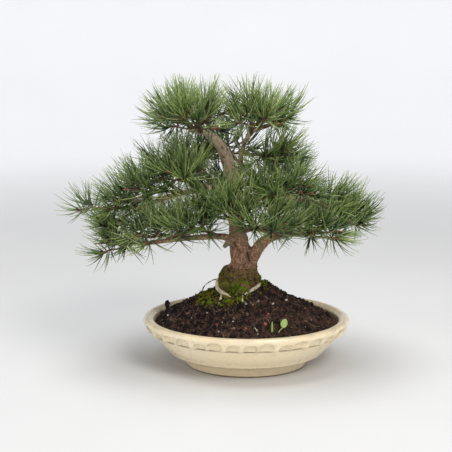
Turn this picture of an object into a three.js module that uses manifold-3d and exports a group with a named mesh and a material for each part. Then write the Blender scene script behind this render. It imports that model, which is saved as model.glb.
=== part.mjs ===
// A two-needle pine grown as a bonsai in an oval glazed stoneware pot, in millimetres, +Z up.
// The origin is on the floor under the middle of the pot's foot, with +X along the pot's length
// and -Y towards its front.
import * as THREE from "three";
import { mergeVertices } from "three/addons/utils/BufferGeometryUtils.js";
import Module from "manifold-3d";

const wasm = await Module();
wasm.setup();

// Pot
const POT_HALF_LENGTH = 165; // widest, at the lip
const POT_HEIGHT = 78;
const OVAL = 0.8; // depth over length, at every level
const OVAL_EVEN = 0.0556; // spreads points evenly along the oval's outline
const PRESSED_HOLLOWS = 34; // thumb-pressed hollows in the band under the lip
const HOLLOW_DEPTH = 3.4;
const FLOOR_TOP = 12; // thickness of the pot's floor
const DRAIN_X = 50; // distance of each drainage hole from the middle
const DRAIN_RADIUS = 11;
const DRAIN_SIDES = 16;
const DRAIN_GROOVE = [54, 8, 3]; // length, width and depth of the groove from hole to foot edge
const GAP = 0.4; // between pieces that touch

// Soil
const SOIL_EDGE = 69; // level where the soil meets the wall
const SOIL_RISE = 66; // height of the mound above its edge
const SOIL_SLOPE = 1.21; // 1 is a cone and 2 a dome
const SOIL_SLOPE_FRONT = 1.5; // the mound is fuller at the front
const SOIL_SHIFT = -8; // of the mound's peak from the middle of the pot, towards the trunk
const SOIL_CLOD = 1.8; // height of the clods
const HEAP_PLACE = [36, 4]; // earth drawn up against the trunk
const HEAP_RISE = 10;
const HEAP_REACH = 19;

// Foliage
const NEEDLE_LENGTH = 41;
const NEEDLE_RADIUS = 1.15;
const NEEDLES_ON_SHOOT = 6;
const SHOOT_LENGTH = 18;
const TWIG_RADIUS = 2.3;
const NEEDLE_CLEARANCE = 0.5;
const GOLDEN = Math.PI * (3 - Math.sqrt(5));

const finish = (color, roughness) =>
  new THREE.MeshStandardMaterial({ color, roughness, metalness: 0 });
const GLAZE = finish(0xd9caa8, 0.35);
const EARTH = finish(0x35291f, 0.95);
const BARK = finish(0x70563f, 0.9);
const NEEDLE = finish(0x4c6238, 0.6);
const LEAF = finish(0x7d9a4e, 0.5);
const STRAW = finish(0xb9ae8c, 0.8);
const CHIP = finish(0x2c211b, 0.9);
const MESH = finish(0x2a2c2d, 0.6);

const vec = (x, y, z) => new THREE.Vector3(x, y, z);

// A repeatable number from 0 to 1 for each whole number.
function chance(k) {
  const s = Math.sin(k * 12.9898 + 4.1414) * 43758.5453;
  return s - Math.floor(s);
}

function solid(geometry) {
  const bare = geometry.clone();
  bare.deleteAttribute("normal");
  bare.deleteAttribute("uv");
  const merged = mergeVertices(bare, 1e-3);
  return new wasm.Manifold(
    new wasm.Mesh({
      numProp: 3,
      vertProperties: merged.attributes.position.array,
      triVerts: new Uint32Array(merged.index.array),
    }),
  );
}

// Joins solids and keeps the one large body, with sealed hollows filled and scraps dropped.
function fuse(solids) {
  const joined = solids.reduce((all, next) => all.add(next));
  return joined.decompose().reduce((best, body) => (body.volume() > best.volume() ? body : best));
}

const tree = new THREE.Group();

function addPiece(name, made, material) {
  const { vertProperties, triVerts } = made.getMesh();
  const geometry = new THREE.BufferGeometry();
  geometry.setAttribute("position", new THREE.BufferAttribute(new Float32Array(vertProperties), 3));
  geometry.setIndex(new THREE.BufferAttribute(new Uint32Array(triVerts), 1));
  geometry.computeVertexNormals();
  const mesh = new THREE.Mesh(geometry, material);
  mesh.name = name;
  tree.add(mesh);
}

function moveVertices(geometry, move) {
  const at = geometry.attributes.position;
  for (let i = 0; i < at.count; i++) {
    const p = move(vec(at.getX(i), at.getY(i), at.getZ(i)));
    at.setXYZ(i, p.x, p.y, p.z);
  }
  return geometry;
}

// Turns a profile of [half-length, height] round the pot's axis and flattens it to the oval.
// reshape(turn, radius, height) gives back the radius and height of each point.
function ovalTurned(profile, sides, reshape = (turn, radius, height) => [radius, height]) {
  const points = profile.map(([radius, height]) => new THREE.Vector2(radius, height));
  return moveVertices(new THREE.LatheGeometry(points, sides), ({ x, y, z }) => {
    const turn = Math.atan2(-z, x);
    const even = turn + OVAL_EVEN * Math.sin(2 * turn);
    const [radius, height] = reshape(turn, Math.hypot(x, z), y);
    return vec(radius * Math.cos(even), OVAL * radius * Math.sin(even), height);
  });
}

// ---- Pot: turned profile, with the band of hollows pressed in under the lip

const BAND_BOTTOM = 56.5;
const BAND_TOP = 66;
const INNER_WALL = [
  [148.8, 74.5],
  [146.5, 66],
  [126, 33],
  [91, 13.7],
  [0, FLOOR_TOP],
];
const POT_PROFILE = [
  [0, 0],
  [97.5, 0],
  [98.5, 11],
  [120.5, 21.6],
  [125.7, 23.4],
  [138.7, 38],
  [151.9, BAND_BOTTOM - 0.8],
  [156, BAND_BOTTOM],
  [159.6, 61.5],
  [161.2, BAND_TOP],
  [POT_HALF_LENGTH, 72],
  [162.5, 76.2],
  [157, POT_HEIGHT],
  [151.5, 77.3],
  ...INNER_WALL,
];
const POT_SIDES = PRESSED_HOLLOWS * 2; // a ridge and a hollow by turns

function pressedIn(turn, radius, height) {
  const share = (turn / (2 * Math.PI)) * PRESSED_HOLLOWS + 0.5;
  const ridge = Math.abs(share - Math.round(share)) < 0.25;
  const inBand = radius > 155 && height >= BAND_BOTTOM && height < BAND_TOP;
  return [ridge || !inBand ? radius : radius - HOLLOW_DEPTH, height];
}

function drain(side) {
  const hole = new THREE.CylinderGeometry(DRAIN_RADIUS, DRAIN_RADIUS, 4 * FLOOR_TOP, DRAIN_SIDES);
  const [length, width, depth] = DRAIN_GROOVE;
  const groove = new THREE.BoxGeometry(length, width, 2 * depth);
  hole.rotateX(Math.PI / 2).translate(side * DRAIN_X, 0, 0);
  groove.translate(side * (DRAIN_X + length / 2), 0, 0);
  return solid(hole).add(solid(groove));
}

const turnedPot = solid(ovalTurned(POT_PROFILE, POT_SIDES, pressedIn));
addPiece("pot", turnedPot.subtract(drain(-1)).subtract(drain(1)), GLAZE);

// ---- Drainage mesh over each hole, on the pot's floor under the soil

const MESH_SIZE = 34;
const MESH_THICK = 1.2;
const MESH_HOLES = 2; // along each side
const MESH_LIFT = 1.7; // the floor rises this much towards the wall
const MESH_OPENING = 0.68; // width of an opening over the pitch

function block(size, place) {
  return solid(new THREE.BoxGeometry(...size).translate(...place));
}

function drainageMesh(side) {
  const level = FLOOR_TOP + MESH_LIFT + MESH_THICK / 2;
  const pitch = MESH_SIZE / MESH_HOLES;
  const opening = pitch * MESH_OPENING;
  let plate = block([MESH_SIZE, MESH_SIZE, MESH_THICK], [side * DRAIN_X, 0, level]);
  for (let i = 0; i < MESH_HOLES * MESH_HOLES; i++) {
    const x = ((i % MESH_HOLES) - 0.5) * pitch + side * DRAIN_X;
    const y = (Math.floor(i / MESH_HOLES) - 0.5) * pitch;
    plate = plate.subtract(block([opening, opening, 3 * MESH_THICK], [x, y, level]));
  }
  return plate;
}

addPiece("drainage_mesh_left", drainageMesh(-1), MESH);
addPiece("drainage_mesh_right", drainageMesh(1), MESH);

// ---- Tree wood: trunk, stems, branches and roots as one grown piece

// A smooth line through the stations, which start and end straight along their first and last pair.
function lineThrough(stations) {
  return new THREE.CatmullRomCurve3(stations.map(([x, y, z]) => vec(x, y, z)), false, "catmullrom", 0.5);
}

// A round limb that tapers along a smooth line through stations [x, y, z, radius]: a closed
// cylinder whose rings are laid square on the line. swell(share, turn) scales the radius.
function limb(stations, sides, steps, swell = () => 1, thicker = 0) {
  const line = lineThrough(stations);
  const rings = [];
  let side = vec(0.31, 0.93, 0.2);
  for (let i = 0; i <= steps; i++) {
    const share = i / steps;
    const along = line.getTangent(share);
    side = side.clone().addScaledVector(along, -side.dot(along)).normalize();
    const place = share * (stations.length - 1);
    const before = Math.min(Math.floor(place), stations.length - 2);
    const radius = THREE.MathUtils.lerp(stations[before][3], stations[before + 1][3], place - before);
    rings.push({ centre: line.getPoint(share), side, across: side.clone().cross(along), radius });
  }
  const tube = moveVertices(new THREE.CylinderGeometry(1, 1, 1, sides, steps), ({ x, y, z }) => {
    const ring = rings[Math.round((y + 0.5) * steps)];
    const turn = Math.atan2(z, x);
    const out = Math.hypot(x, z) * (ring.radius * swell(y + 0.5, turn) + thicker);
    return ring.centre
      .clone()
      .addScaledVector(ring.side, out * Math.cos(turn))
      .addScaledVector(ring.across, out * Math.sin(turn));
  });
  return solid(tube);
}

const TRUNK = [
  [-9, 4, 90, 26],
  [-11, 3, 112, 36],
  [-11, 2, 128, 36.5],
  [-10, 1, 139, 34],
  [-7.5, 0, 148, 28],
  [-5.5, 0, 156, 23],
  [-4.5, 0, 168, 21.5],
  [-9.5, 0, 186, 17.5],
  [-11.5, 0, 199, 15.3],
  [-15, 2, 224, 13.5],
  [-17, 4, 256, 12.8],
  [-19, 4, 290, 12],
  [-28, 2, 320, 10.5],
  [-37, -1, 344, 9.4],
  [-49, -4, 361, 8],
  [-64, -7, 374, 5.6],
];
const TRUNK_SIDES = 12;
const TRUNK_STEPS = 15;

// Flutes that run down into the roots, and plates of bark.
function barkSwell(share, turn) {
  const plate = chance(Math.round(share * TRUNK_STEPS) * 17 + Math.round((turn * TRUNK_SIDES) / Math.PI));
  const flare = Math.max(0, 1 - share / 0.35);
  return 1 + 0.08 * (plate - 0.5) + 0.08 * flare * Math.sin(5 * turn + 1);
}

// Main branches, as stations from the trunk out.
const BRANCHES = {
  east_low: [
    [3, -2, 164, 13.5],
    [12, -3, 177, 11],
    [22, -5, 194, 9.8],
    [42, -8, 209, 7.8],
    [82, -10, 216, 5.6],
    [118, -4, 218, 4.6],
  ],
  second_stem: [
    [-16, 8, 262, 6],
    [-9, 14, 298, 5],
    [-9, 14, 334, 4],
    [-2, 8, 360, 3.6],
  ],
  west_low: [
    [-14, 0, 196, 7.5],
    [-36, -8, 208, 5.8],
    [-70, -12, 208, 4.8],
    [-112, -12, 204, 4.2],
    [-148, -14, 199, 3.5],
  ],
  west_mid: [
    [-18, 4, 274, 8],
    [-46, 2, 284, 5.8],
    [-84, -2, 280, 4.8],
    [-124, -4, 270, 4.3],
    [-166, -8, 254, 3.6],
  ],
  east_mid: [
    [-14, 8, 256, 7],
    [18, 12, 268, 6],
    [52, 6, 272, 5],
    [88, 0, 266, 4],
  ],
  front: [
    [-13, -6, 212, 8],
    [-8, -34, 222, 6.5],
    [-4, -64, 228, 5],
  ],
  back: [
    [-12, 12, 236, 8],
    [-16, 40, 248, 6.5],
    [-20, 68, 254, 5],
  ],
  stub: [
    [-14, -2, 192, 6],
    [-28, -4, 197, 5.2],
    [-36, -5, 190, 4.4],
  ],
  crown_west: [
    [-58, -6, 370, 5.4],
    [-76, -8, 374, 4.4],
    [-90, -8, 376, 3.6],
  ],
  crown_east: [
    [-3, 9, 356, 4.2],
    [10, 3, 374, 4],
    [26, -2, 380, 3.4],
  ],
};
const BRANCH_SIDES = 6;

// Pale roots that run over the front of the mound.
const ROOTS = [
  [[-44, -8, 137, 5], [-46, -20, 129.5, 3.8], [-40, -30, 124.5, 3.2], [-28, -38, 121.5, 2.6]],
  [[-38, -32, 122, 2.6], [-40, -44, 116, 2.2], [-43, -56, 110, 1.8]],
  [[21, -17, 133, 3.8], [16, -27, 131, 3.5], [8, -33, 127.5, 3.2], [-1, -40, 123.5, 2.8]],
];
const ROOT_SIDES = 5;
const TRUNK_HOLE = [[-12, 2, 84, 45], [-12, 2, 150, 45]]; // in the soil, plain and round
const TRUNK_HOLE_SIDES = 14;

// Pads of foliage: the branch that bears it, how far along it, the middle of its shoots' feet, how
// far they spread each way and how many shoots it has.
const PADS = {
  crown_west: { on: "crown_west", at: 0.7, middle: [-108, -6, 398], spread: [22, 28, 8], shoots: 3 },
  crown_front_west: { on: "crown_west", at: 0.3, middle: [-80, -44, 389], spread: [28, 22, 10], shoots: 3 },
  crown_back_west: { on: "crown_west", at: 0.2, middle: [-86, 44, 400], spread: [30, 24, 10], shoots: 3 },
  crown_top: { on: "trunk", at: 0.97, middle: [-64, 0, 401], spread: [24, 22, 5], shoots: 2 },
  crown_front: { on: "crown_east", at: 0.3, middle: [14, -44, 394], spread: [26, 22, 10], shoots: 3 },
  crown_back: { on: "crown_east", at: 0.3, middle: [12, 48, 401], spread: [28, 24, 10], shoots: 3 },
  crown_east: { on: "crown_east", at: 0.8, middle: [27, -8, 398], spread: [22, 28, 8], shoots: 3 },
  crown_tip: { on: "crown_east", at: 1, middle: [57, 6, 391], spread: [8, 12, 4], shoots: 2 },
  west_upper: { on: "west_mid", at: 0.45, middle: [-120, -4, 318], spread: [28, 32, 10], shoots: 3 },
  west_front: { on: "west_mid", at: 0.6, middle: [-147, -58, 292], spread: [30, 26, 10], shoots: 3 },
  west_back: { on: "west_mid", at: 0.6, middle: [-143, 62, 292], spread: [32, 28, 10], shoots: 3 },
  west_far: { on: "west_mid", at: 0.85, middle: [-188, -10, 265], spread: [22, 36, 10], shoots: 3 },
  west_tip: { on: "west_mid", at: 1, middle: [-243, -12, 253], spread: [8, 14, 5], shoots: 2 },
  west_end: { on: "west_mid", at: 1, middle: [-206, -18, 231], spread: [14, 26, 6], shoots: 2 },
  west_low: { on: "west_low", at: 1, middle: [-199, -34, 203], spread: [24, 34, 8], shoots: 3 },
  west_low_front: { on: "west_low", at: 0.6, middle: [-138, -78, 226], spread: [32, 24, 10], shoots: 3 },
  west_low_back: { on: "west_low", at: 0.6, middle: [-140, 58, 220], spread: [36, 28, 10], shoots: 3 },
  west_inner: { on: "west_low", at: 0.3, middle: [-78, -92, 241], spread: [30, 24, 12], shoots: 3 },
  west_inner_up: { on: "west_mid", at: 0.35, middle: [-96, -62, 314], spread: [26, 22, 10], shoots: 3 },
  west_inner_back: { on: "west_mid", at: 0.25, middle: [-86, 78, 322], spread: [30, 26, 10], shoots: 3 },
  west_core: { on: "west_mid", at: 0.2, middle: [-54, -64, 276], spread: [24, 20, 10], shoots: 3 },
  east_upper: { on: "second_stem", at: 0.7, middle: [41, -4, 335], spread: [26, 30, 10], shoots: 3 },
  east_front: { on: "east_mid", at: 0.4, middle: [62, -62, 291], spread: [30, 26, 10], shoots: 3 },
  east_back: { on: "east_mid", at: 0.5, middle: [59, 66, 293], spread: [32, 28, 10], shoots: 3 },
  east_far: { on: "east_mid", at: 0.9, middle: [127, -4, 262], spread: [24, 36, 10], shoots: 3 },
  east_tip: { on: "east_low", at: 0.9, middle: [162, 2, 236], spread: [16, 34, 8], shoots: 3 },
  east_low_front: { on: "east_low", at: 0.6, middle: [102, -72, 231], spread: [34, 24, 10], shoots: 3 },
  east_low_back: { on: "east_low", at: 0.6, middle: [98, 66, 226], spread: [34, 28, 10], shoots: 3 },
  inner_east: { on: "east_mid", at: 0.2, middle: [18, -52, 287], spread: [26, 22, 10], shoots: 3 },
  front_mid: { on: "front", at: 0.6, middle: [-24, -82, 260], spread: [28, 20, 10], shoots: 3 },
  front_low: { on: "front", at: 1, middle: [28, -100, 243], spread: [36, 18, 12], shoots: 3 },
  back_up: { on: "second_stem", at: 0.5, middle: [-30, 88, 336], spread: [32, 26, 10], shoots: 3 },
  back_mid: { on: "back", at: 1, middle: [-36, 112, 272], spread: [36, 22, 10], shoots: 3 },
  back_low: { on: "back", at: 0.9, middle: [34, 106, 240], spread: [32, 24, 10], shoots: 3 },
};
const HUB_DEPTH = 0.45; // how far a pad's hub lies behind its middle, over its spread
const BRANCHLET_RADIUS = [3.6, 2.5];
const SHORTEST_BRANCHLET = 12;
const STALK_LENGTH = 6;
const KNOT_RADIUS = 4.6; // the swelling that the shoots come out of
const KNOT_SIDES = 5;
const TWIG_SIDES = 3;

// Where a pad's branchlet leaves its branch, the hub where it ends and the spray starts, and the
// knot a little further on that the shoots fan out from.
function padFrame({ on, at, middle, spread }) {
  const root = lineThrough(on === "trunk" ? TRUNK : BRANCHES[on]).getPoint(at);
  const centre = vec(...middle);
  const way = centre.clone().sub(root);
  const aim = way.clone().normalize();
  const behind = Math.min(HUB_DEPTH * (spread[0] + spread[1]), way.length() - SHORTEST_BRANCHLET);
  const hub = centre.clone().addScaledVector(aim, -behind);
  return { root, centre, aim, hub, knot: hub.clone().addScaledVector(aim, STALK_LENGTH) };
}

function station(point, radius) {
  return [point.x, point.y, point.z, radius];
}

function branchlet(pad) {
  const { root, hub } = padFrame(pad);
  const [thick, thin] = BRANCHLET_RADIUS;
  return limb([station(root, thick), station(hub, thin)], TWIG_SIDES, 1);
}

function rootLimbs(thicker) {
  return ROOTS.map((stations) => limb(stations, ROOT_SIDES, stations.length - 1, undefined, thicker));
}

function branchLimbs() {
  return Object.values(BRANCHES).map((stations) => limb(stations, BRANCH_SIDES, stations.length - 1));
}

const trunk = limb(TRUNK, TRUNK_SIDES, TRUNK_STEPS, barkSwell);
const branchlets = Object.values(PADS).map(branchlet);
addPiece("tree_wood", fuse([trunk, ...rootLimbs(0), ...branchLimbs(), ...branchlets]), BARK);

// ---- Soil: a rounded mound that fills the pot, with plain holes for what stands in it

const SOIL_SIDES = 36;
const SOIL_CLEAR = 0.5; // between the soil and the wall, floor, meshes and stems
const SOIL_RADIUS = 147; // half-length where it meets the wall
const SOIL_TOP_RINGS = [136, 112, 88, 66, 46, 26];

function soilHeight(x, y) {
  const fromMiddle = Math.min(1, Math.hypot(x, y / OVAL) / SOIL_RADIUS);
  const beside = x - SOIL_SHIFT * (1 - fromMiddle);
  const share = Math.min(1, Math.hypot(beside, y / OVAL) / SOIL_RADIUS);
  const front = Math.max(0, -y / OVAL) / (SOIL_RADIUS * share + 1);
  const slope = THREE.MathUtils.lerp(SOIL_SLOPE, SOIL_SLOPE_FRONT, front * front);
  const mound = SOIL_RISE * (1 - share ** slope);
  const clods = Math.sin(x * 0.21 + 1) * Math.sin(y * 0.26) + 0.7 * Math.sin(x * 0.37 - y * 0.31 + 2);
  const beyondHeap = Math.hypot(x - HEAP_PLACE[0], y - HEAP_PLACE[1]) / HEAP_REACH;
  const heap = HEAP_RISE * Math.exp(-(beyondHeap ** 2));
  return SOIL_EDGE + mound + heap + SOIL_CLOD * clods * Math.min(1, 5 * (1 - share));
}

const SOIL_CROWN = 100; // any level above the wall: the crown's points are then set by soilHeight
const besideWall = ([radius, height]) => [Math.max(0, radius - SOIL_CLEAR), height + SOIL_CLEAR];
const soilProfile = [
  ...INNER_WALL.slice(1).map(besideWall).reverse(),
  [SOIL_RADIUS - SOIL_CLEAR, SOIL_EDGE],
  ...SOIL_TOP_RINGS.map((radius) => [radius, SOIL_CROWN]),
  [0, SOIL_CROWN],
];
const soilTurned = ovalTurned(soilProfile, SOIL_SIDES);
moveVertices(soilTurned, ({ x, y, z }) => vec(x, y, z < SOIL_CROWN ? z : soilHeight(x, y)));

// ---- Needle sprays: one for each pad, its shoots fused with their needles

const PAD_TURN = 1.7; // turns each pad's shoots against those of the pad before, in radians
const DOME_TOP = 0.6; // height of the middle of a pad over its middle point, over its spread
const DOME_FALL = 1.2;

// The foot and the direction of each shoot of a pad: shoots fan out from the end of the pad's
// stalk, with their feet in a low dome, by golden angle.
function shootsOf(pad, number) {
  const { centre, knot } = padFrame(pad);
  const [wide, deep, tall] = pad.spread;
  return Array.from({ length: pad.shoots }, (_, k) => {
    const turn = k * GOLDEN + number * PAD_TURN;
    const out = Math.sqrt((k + 0.6) / pad.shoots);
    const rise = tall * (DOME_TOP - DOME_FALL * out * out);
    const foot = centre.clone().add(vec(wide * out * Math.cos(turn), deep * out * Math.sin(turn), rise));
    const lean = foot.clone().sub(knot).normalize();
    return { foot, lean, tip: foot.clone().addScaledVector(lean, SHOOT_LENGTH) };
  });
}

const WIDEST_SPLAY = 78; // degrees between shoot and needle, at the shoot's foot
const CLOSEST_SPLAY = 8; // and at its tip
const SPLAY_DRAW = 14;
const FIRST_NEEDLE = 0.12; // share of the shoot's length
const NEEDLED_LENGTH = 0.8;

// Needles stand round the shoot by golden angle, wide open at its foot and closer at its tip.
function needlesOf({ foot, lean }, seed) {
  const flat = Math.abs(lean.z) > 0.9 ? vec(1, 0, 0) : vec(0, 0, 1);
  const side = lean.clone().cross(flat).normalize();
  return Array.from({ length: NEEDLES_ON_SHOOT }, (_, j) => {
    const along = (j + 0.5) / NEEDLES_ON_SHOOT;
    const opened = THREE.MathUtils.lerp(WIDEST_SPLAY, CLOSEST_SPLAY, along);
    const splay = THREE.MathUtils.degToRad(opened + SPLAY_DRAW * (chance(seed + j) - 0.5));
    const root = foot.clone().addScaledVector(lean, SHOOT_LENGTH * (FIRST_NEEDLE + NEEDLED_LENGTH * along));
    const length = NEEDLE_LENGTH * (0.9 + 0.2 * chance(seed * 3 + j));
    return { root, lean, side, splay, turn: j * GOLDEN + seed, length };
  });
}

function needleLine({ root, lean, side, splay, turn, length }, turned, shorter) {
  const out = side.clone().applyAxisAngle(lean, turn + turned);
  const way = lean.clone().multiplyScalar(Math.cos(splay)).addScaledVector(out, Math.sin(splay));
  return { from: root, way, to: root.clone().addScaledVector(way, length * shorter) };
}

function needle({ from, way, to }) {
  const length = from.distanceTo(to);
  const cone = new THREE.ConeGeometry(NEEDLE_RADIUS, length, 3, 1).translate(0, length / 2, 0);
  cone.applyQuaternion(new THREE.Quaternion().setFromUnitVectors(vec(0, 1, 0), way));
  return solid(cone.translate(from.x, from.y, from.z));
}

// Shortest distance between two straight lines that end.
function lineGap(a, b) {
  const u = a.to.clone().sub(a.from);
  const v = b.to.clone().sub(b.from);
  const w = a.from.clone().sub(b.from);
  const [uu, uv, vv, uw, vw] = [u.dot(u), u.dot(v), v.dot(v), u.dot(w), v.dot(w)];
  const spread = uu * vv - uv * uv;
  const clamp = THREE.MathUtils.clamp;
  let s = spread > 1e-6 ? clamp((uv * vw - vv * uw) / spread, 0, 1) : 0;
  const t = clamp((uv * s + vw) / vv, 0, 1);
  s = clamp((uv * t - uw) / uu, 0, 1);
  return w.addScaledVector(u, s).addScaledVector(v, -t).length();
}

// Every straight stretch of wood, twig and needle that a needle of another piece keeps clear of.
const taken = [];

function take(owner, stations) {
  stations.slice(1).forEach((end, i) => {
    const from = vec(...stations[i]);
    taken.push({ owner, from, to: vec(...end), radius: Math.max(end[3], stations[i][3]) });
  });
}

function isClear(line, owner) {
  return taken.every((other) => {
    const needed = other.radius + NEEDLE_RADIUS + NEEDLE_CLEARANCE;
    return other.owner === owner || lineGap(line, other) > needed;
  });
}

const padList = Object.entries(PADS).map(([name, pad], number) => {
  const frame = padFrame(pad);
  return { name: "needles_" + name, frame, shoots: shootsOf(pad, number) };
});
[TRUNK, ...Object.values(BRANCHES)].forEach((stations) => take("tree_wood", stations));
padList.forEach(({ name, frame, shoots }) => {
  take("tree_wood", [station(frame.root, BRANCHLET_RADIUS[0]), station(frame.hub, BRANCHLET_RADIUS[1])]);
  shoots.forEach(({ tip }, k) => take(name + k, [frame.knot, tip].map((end) => station(end, TWIG_RADIUS))));
});

const TURNS_TRIED = [0, 0.4, -0.4, 0.9, -0.9, 1.6, -1.6, 2.3, -2.3, 3.1];
const LENGTHS_TRIED = [1, 0.8];

// The first place for a needle that is clear of every other piece, or none.
function placeNeedle(wanted, owner) {
  for (const shorter of LENGTHS_TRIED) {
    for (const turned of TURNS_TRIED) {
      const line = needleLine(wanted, turned, shorter);
      if (isClear(line, owner)) {
        taken.push({ owner, from: line.from, to: line.to, radius: NEEDLE_RADIUS });
        return [line];
      }
    }
  }
  return [];
}

padList.forEach(({ name, frame, shoots }, number) => {
  const { aim, hub, knot } = frame;
  const [, thin] = BRANCHLET_RADIUS;
  const stalkFoot = hub.clone().addScaledVector(aim, GAP);
  const stalkTop = knot.clone().addScaledVector(aim, KNOT_RADIUS);
  const swelling = [station(stalkFoot, thin), station(knot, KNOT_RADIUS), station(stalkTop, thin)];
  const stalk = limb(swelling, KNOT_SIDES, swelling.length - 1);
  const twigs = shoots.map(({ tip }) =>
    limb([station(knot, TWIG_RADIUS), station(tip, TWIG_RADIUS)], TWIG_SIDES, 1),
  );
  const lines = shoots.flatMap((shoot, k) =>
    needlesOf(shoot, number * 31 + k * 7).flatMap((wanted) => placeNeedle(wanted, name + k)),
  );
  addPiece(name, fuse([stalk, ...twigs, ...lines.map(needle)]), NEEDLE);
});

// ---- Small plants and litter in the soil

// A thin upright plate with an outline of [across, up] points, turned about Z and tilted back.
function blade(outline, thick, place, turnZ, tilt) {
  const shape = new THREE.Shape(outline.map(([x, y]) => new THREE.Vector2(x, y)));
  const made = new THREE.ExtrudeGeometry(shape, { depth: thick, bevelEnabled: false });
  made.translate(0, 0, -thick / 2).rotateX(Math.PI / 2 - tilt).rotateZ(turnZ);
  return solid(made.translate(...place));
}

const LEAF_OUTLINE = [
  [0.5, -1],
  [3.6, 2.6],
  [5.1, 7],
  [3.8, 11.6],
  [0.6, 14.4],
  [-3, 12],
  [-5, 7],
  [-3, 2.3],
];
const BLADE_OUTLINE = [[-1, -5], [1, -5], [1.8, 4], [1.1, 11], [0.2, 16], [-0.9, 11], [-1.5, 4]];
const CHIP_OUTLINE = [[-5, -5], [4, -5], [3, 6], [5.5, 12], [1.5, 17.5], [-4.5, 15], [-3.2, 4]];
const LEAF_THICK = 0.8;
const CHIP_THICK = 2.6;
const STEM_SINK = 6;
const STEM_SIDES = 5;

// A thin stem that stands in the soil at [x, y], its radius, rise and the way its top leans.
const LEAF_STEM = { at: [50, -94], radius: 0.9, rise: 6, lean: [2, 0] };
const SPRIG = { at: [18, -105], radius: 0.8, rise: 11, lean: [-5, 2] };

function stemStations({ at: [x, y], radius, rise, lean }) {
  const ground = soilHeight(x, y);
  const top = [x + lean[0], y + lean[1], ground + rise];
  return [[x, y, ground - STEM_SINK, radius], [x, y, ground, radius], [...top, 0.8 * radius]];
}

const onSoil = (x, y) => [x, y, soilHeight(x, y)];
const leafStem = stemStations(LEAF_STEM);
const sprigStem = stemStations(SPRIG);
const bladePlace = onSoil(40, -100);
const chipPlace = onSoil(-127, 12);
const roundLeaf = blade(LEAF_OUTLINE, LEAF_THICK, leafStem[2].slice(0, 3), 0.2, 0.3);
addPiece("seedling_leaf", fuse([limb(leafStem, STEM_SIDES, 2), roundLeaf]), LEAF);
addPiece("seedling_blade", blade(BLADE_OUTLINE, LEAF_THICK, bladePlace, 0.5, 0.1), LEAF);
addPiece("dry_sprig", limb(sprigStem, STEM_SIDES, 2), STRAW);
addPiece("bark_chip", blade(CHIP_OUTLINE, CHIP_THICK, chipPlace, 0.35, 0.25), CHIP);

const meshWell = (side) => block([MESH_SIZE + 1, MESH_SIZE + 1, 6], [side * DRAIN_X, 0, FLOOR_TOP + 1]);
const litterHoles = [
  limb(leafStem, STEM_SIDES, 2, undefined, GAP),
  limb(sprigStem, STEM_SIDES, 2, undefined, GAP),
  block([4.4, 4, 14], bladePlace),
  block([13, 8, 14], chipPlace),
];
const trunkHole = limb(TRUNK_HOLE, TRUNK_HOLE_SIDES, 1);
const soil = [trunkHole, ...rootLimbs(GAP), meshWell(-1), meshWell(1), ...litterHoles].reduce(
  (left, cut) => left.subtract(cut),
  solid(soilTurned),
);
addPiece("soil", fuse([soil]), EARTH);

export default tree;
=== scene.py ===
# A two-needle pine bonsai in an oval glazed pot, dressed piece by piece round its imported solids.
# Metres, +Z up: the origin is under the middle of the pot's foot and -Y is the front.
import math
import random

import bmesh
import bpy
from mathutils import Matrix, Quaternion, Vector, bvhtree, kdtree, noise


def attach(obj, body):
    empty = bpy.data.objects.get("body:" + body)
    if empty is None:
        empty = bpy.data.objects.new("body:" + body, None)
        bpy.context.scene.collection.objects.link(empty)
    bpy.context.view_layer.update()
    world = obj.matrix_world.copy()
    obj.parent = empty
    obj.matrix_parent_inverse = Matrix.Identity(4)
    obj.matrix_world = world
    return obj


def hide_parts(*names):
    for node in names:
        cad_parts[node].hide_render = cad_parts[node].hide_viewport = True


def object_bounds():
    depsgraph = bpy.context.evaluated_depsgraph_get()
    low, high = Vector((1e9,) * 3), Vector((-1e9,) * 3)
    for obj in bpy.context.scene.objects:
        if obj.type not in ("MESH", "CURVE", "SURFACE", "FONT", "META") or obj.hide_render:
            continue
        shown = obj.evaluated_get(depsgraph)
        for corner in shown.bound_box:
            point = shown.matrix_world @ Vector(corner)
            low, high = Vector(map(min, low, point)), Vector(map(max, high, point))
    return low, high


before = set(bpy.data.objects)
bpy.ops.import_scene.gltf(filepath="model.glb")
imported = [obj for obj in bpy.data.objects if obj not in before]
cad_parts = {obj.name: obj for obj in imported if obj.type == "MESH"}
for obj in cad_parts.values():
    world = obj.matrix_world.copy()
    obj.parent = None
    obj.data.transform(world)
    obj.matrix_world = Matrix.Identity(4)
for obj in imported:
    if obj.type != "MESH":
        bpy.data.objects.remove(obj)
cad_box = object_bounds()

# ---- Pot
# A shallow oval bowl of cream-glazed stoneware: a round lip over a band of thumb-pressed hollows,
# a body that steps in twice, and a foot whose bare edge shows a thin brown line. It is thrown,
# squeezed to an oval, and pressed by hand, so no two hollows are quite alike.

OVAL = 0.8  # depth over length, at every level
OVAL_EVEN = 0.0556  # spreads points evenly along the oval
HOLLOWS = 34
POT_SIDES = 13 * HOLLOWS
HOLLOW_TURN = 0.24  # share of a pitch by which the hollows are turned
HOLLOW_DEPTH = 0.0054
HOLLOW_LEAN = 0.12  # share of a pitch by which a hollow leans from its foot to its top
RIDGE_SWELL = 0.0012  # of the clay pushed up between two hollows
BAND_BOTTOM = 0.056
BAND_TOP = 0.0698
FOOT_EDGE = 0.0016  # height of the bare clay line
POT_STEP = 0.0018  # between rings
DRAIN_X = 0.05
DRAIN_RADIUS = 0.011
DRAIN_CUT = 0.05  # length of the cutter, through the floor
DRAIN_GROOVE = (0.054, 0.008, 0.003)  # length, width and depth
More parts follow.
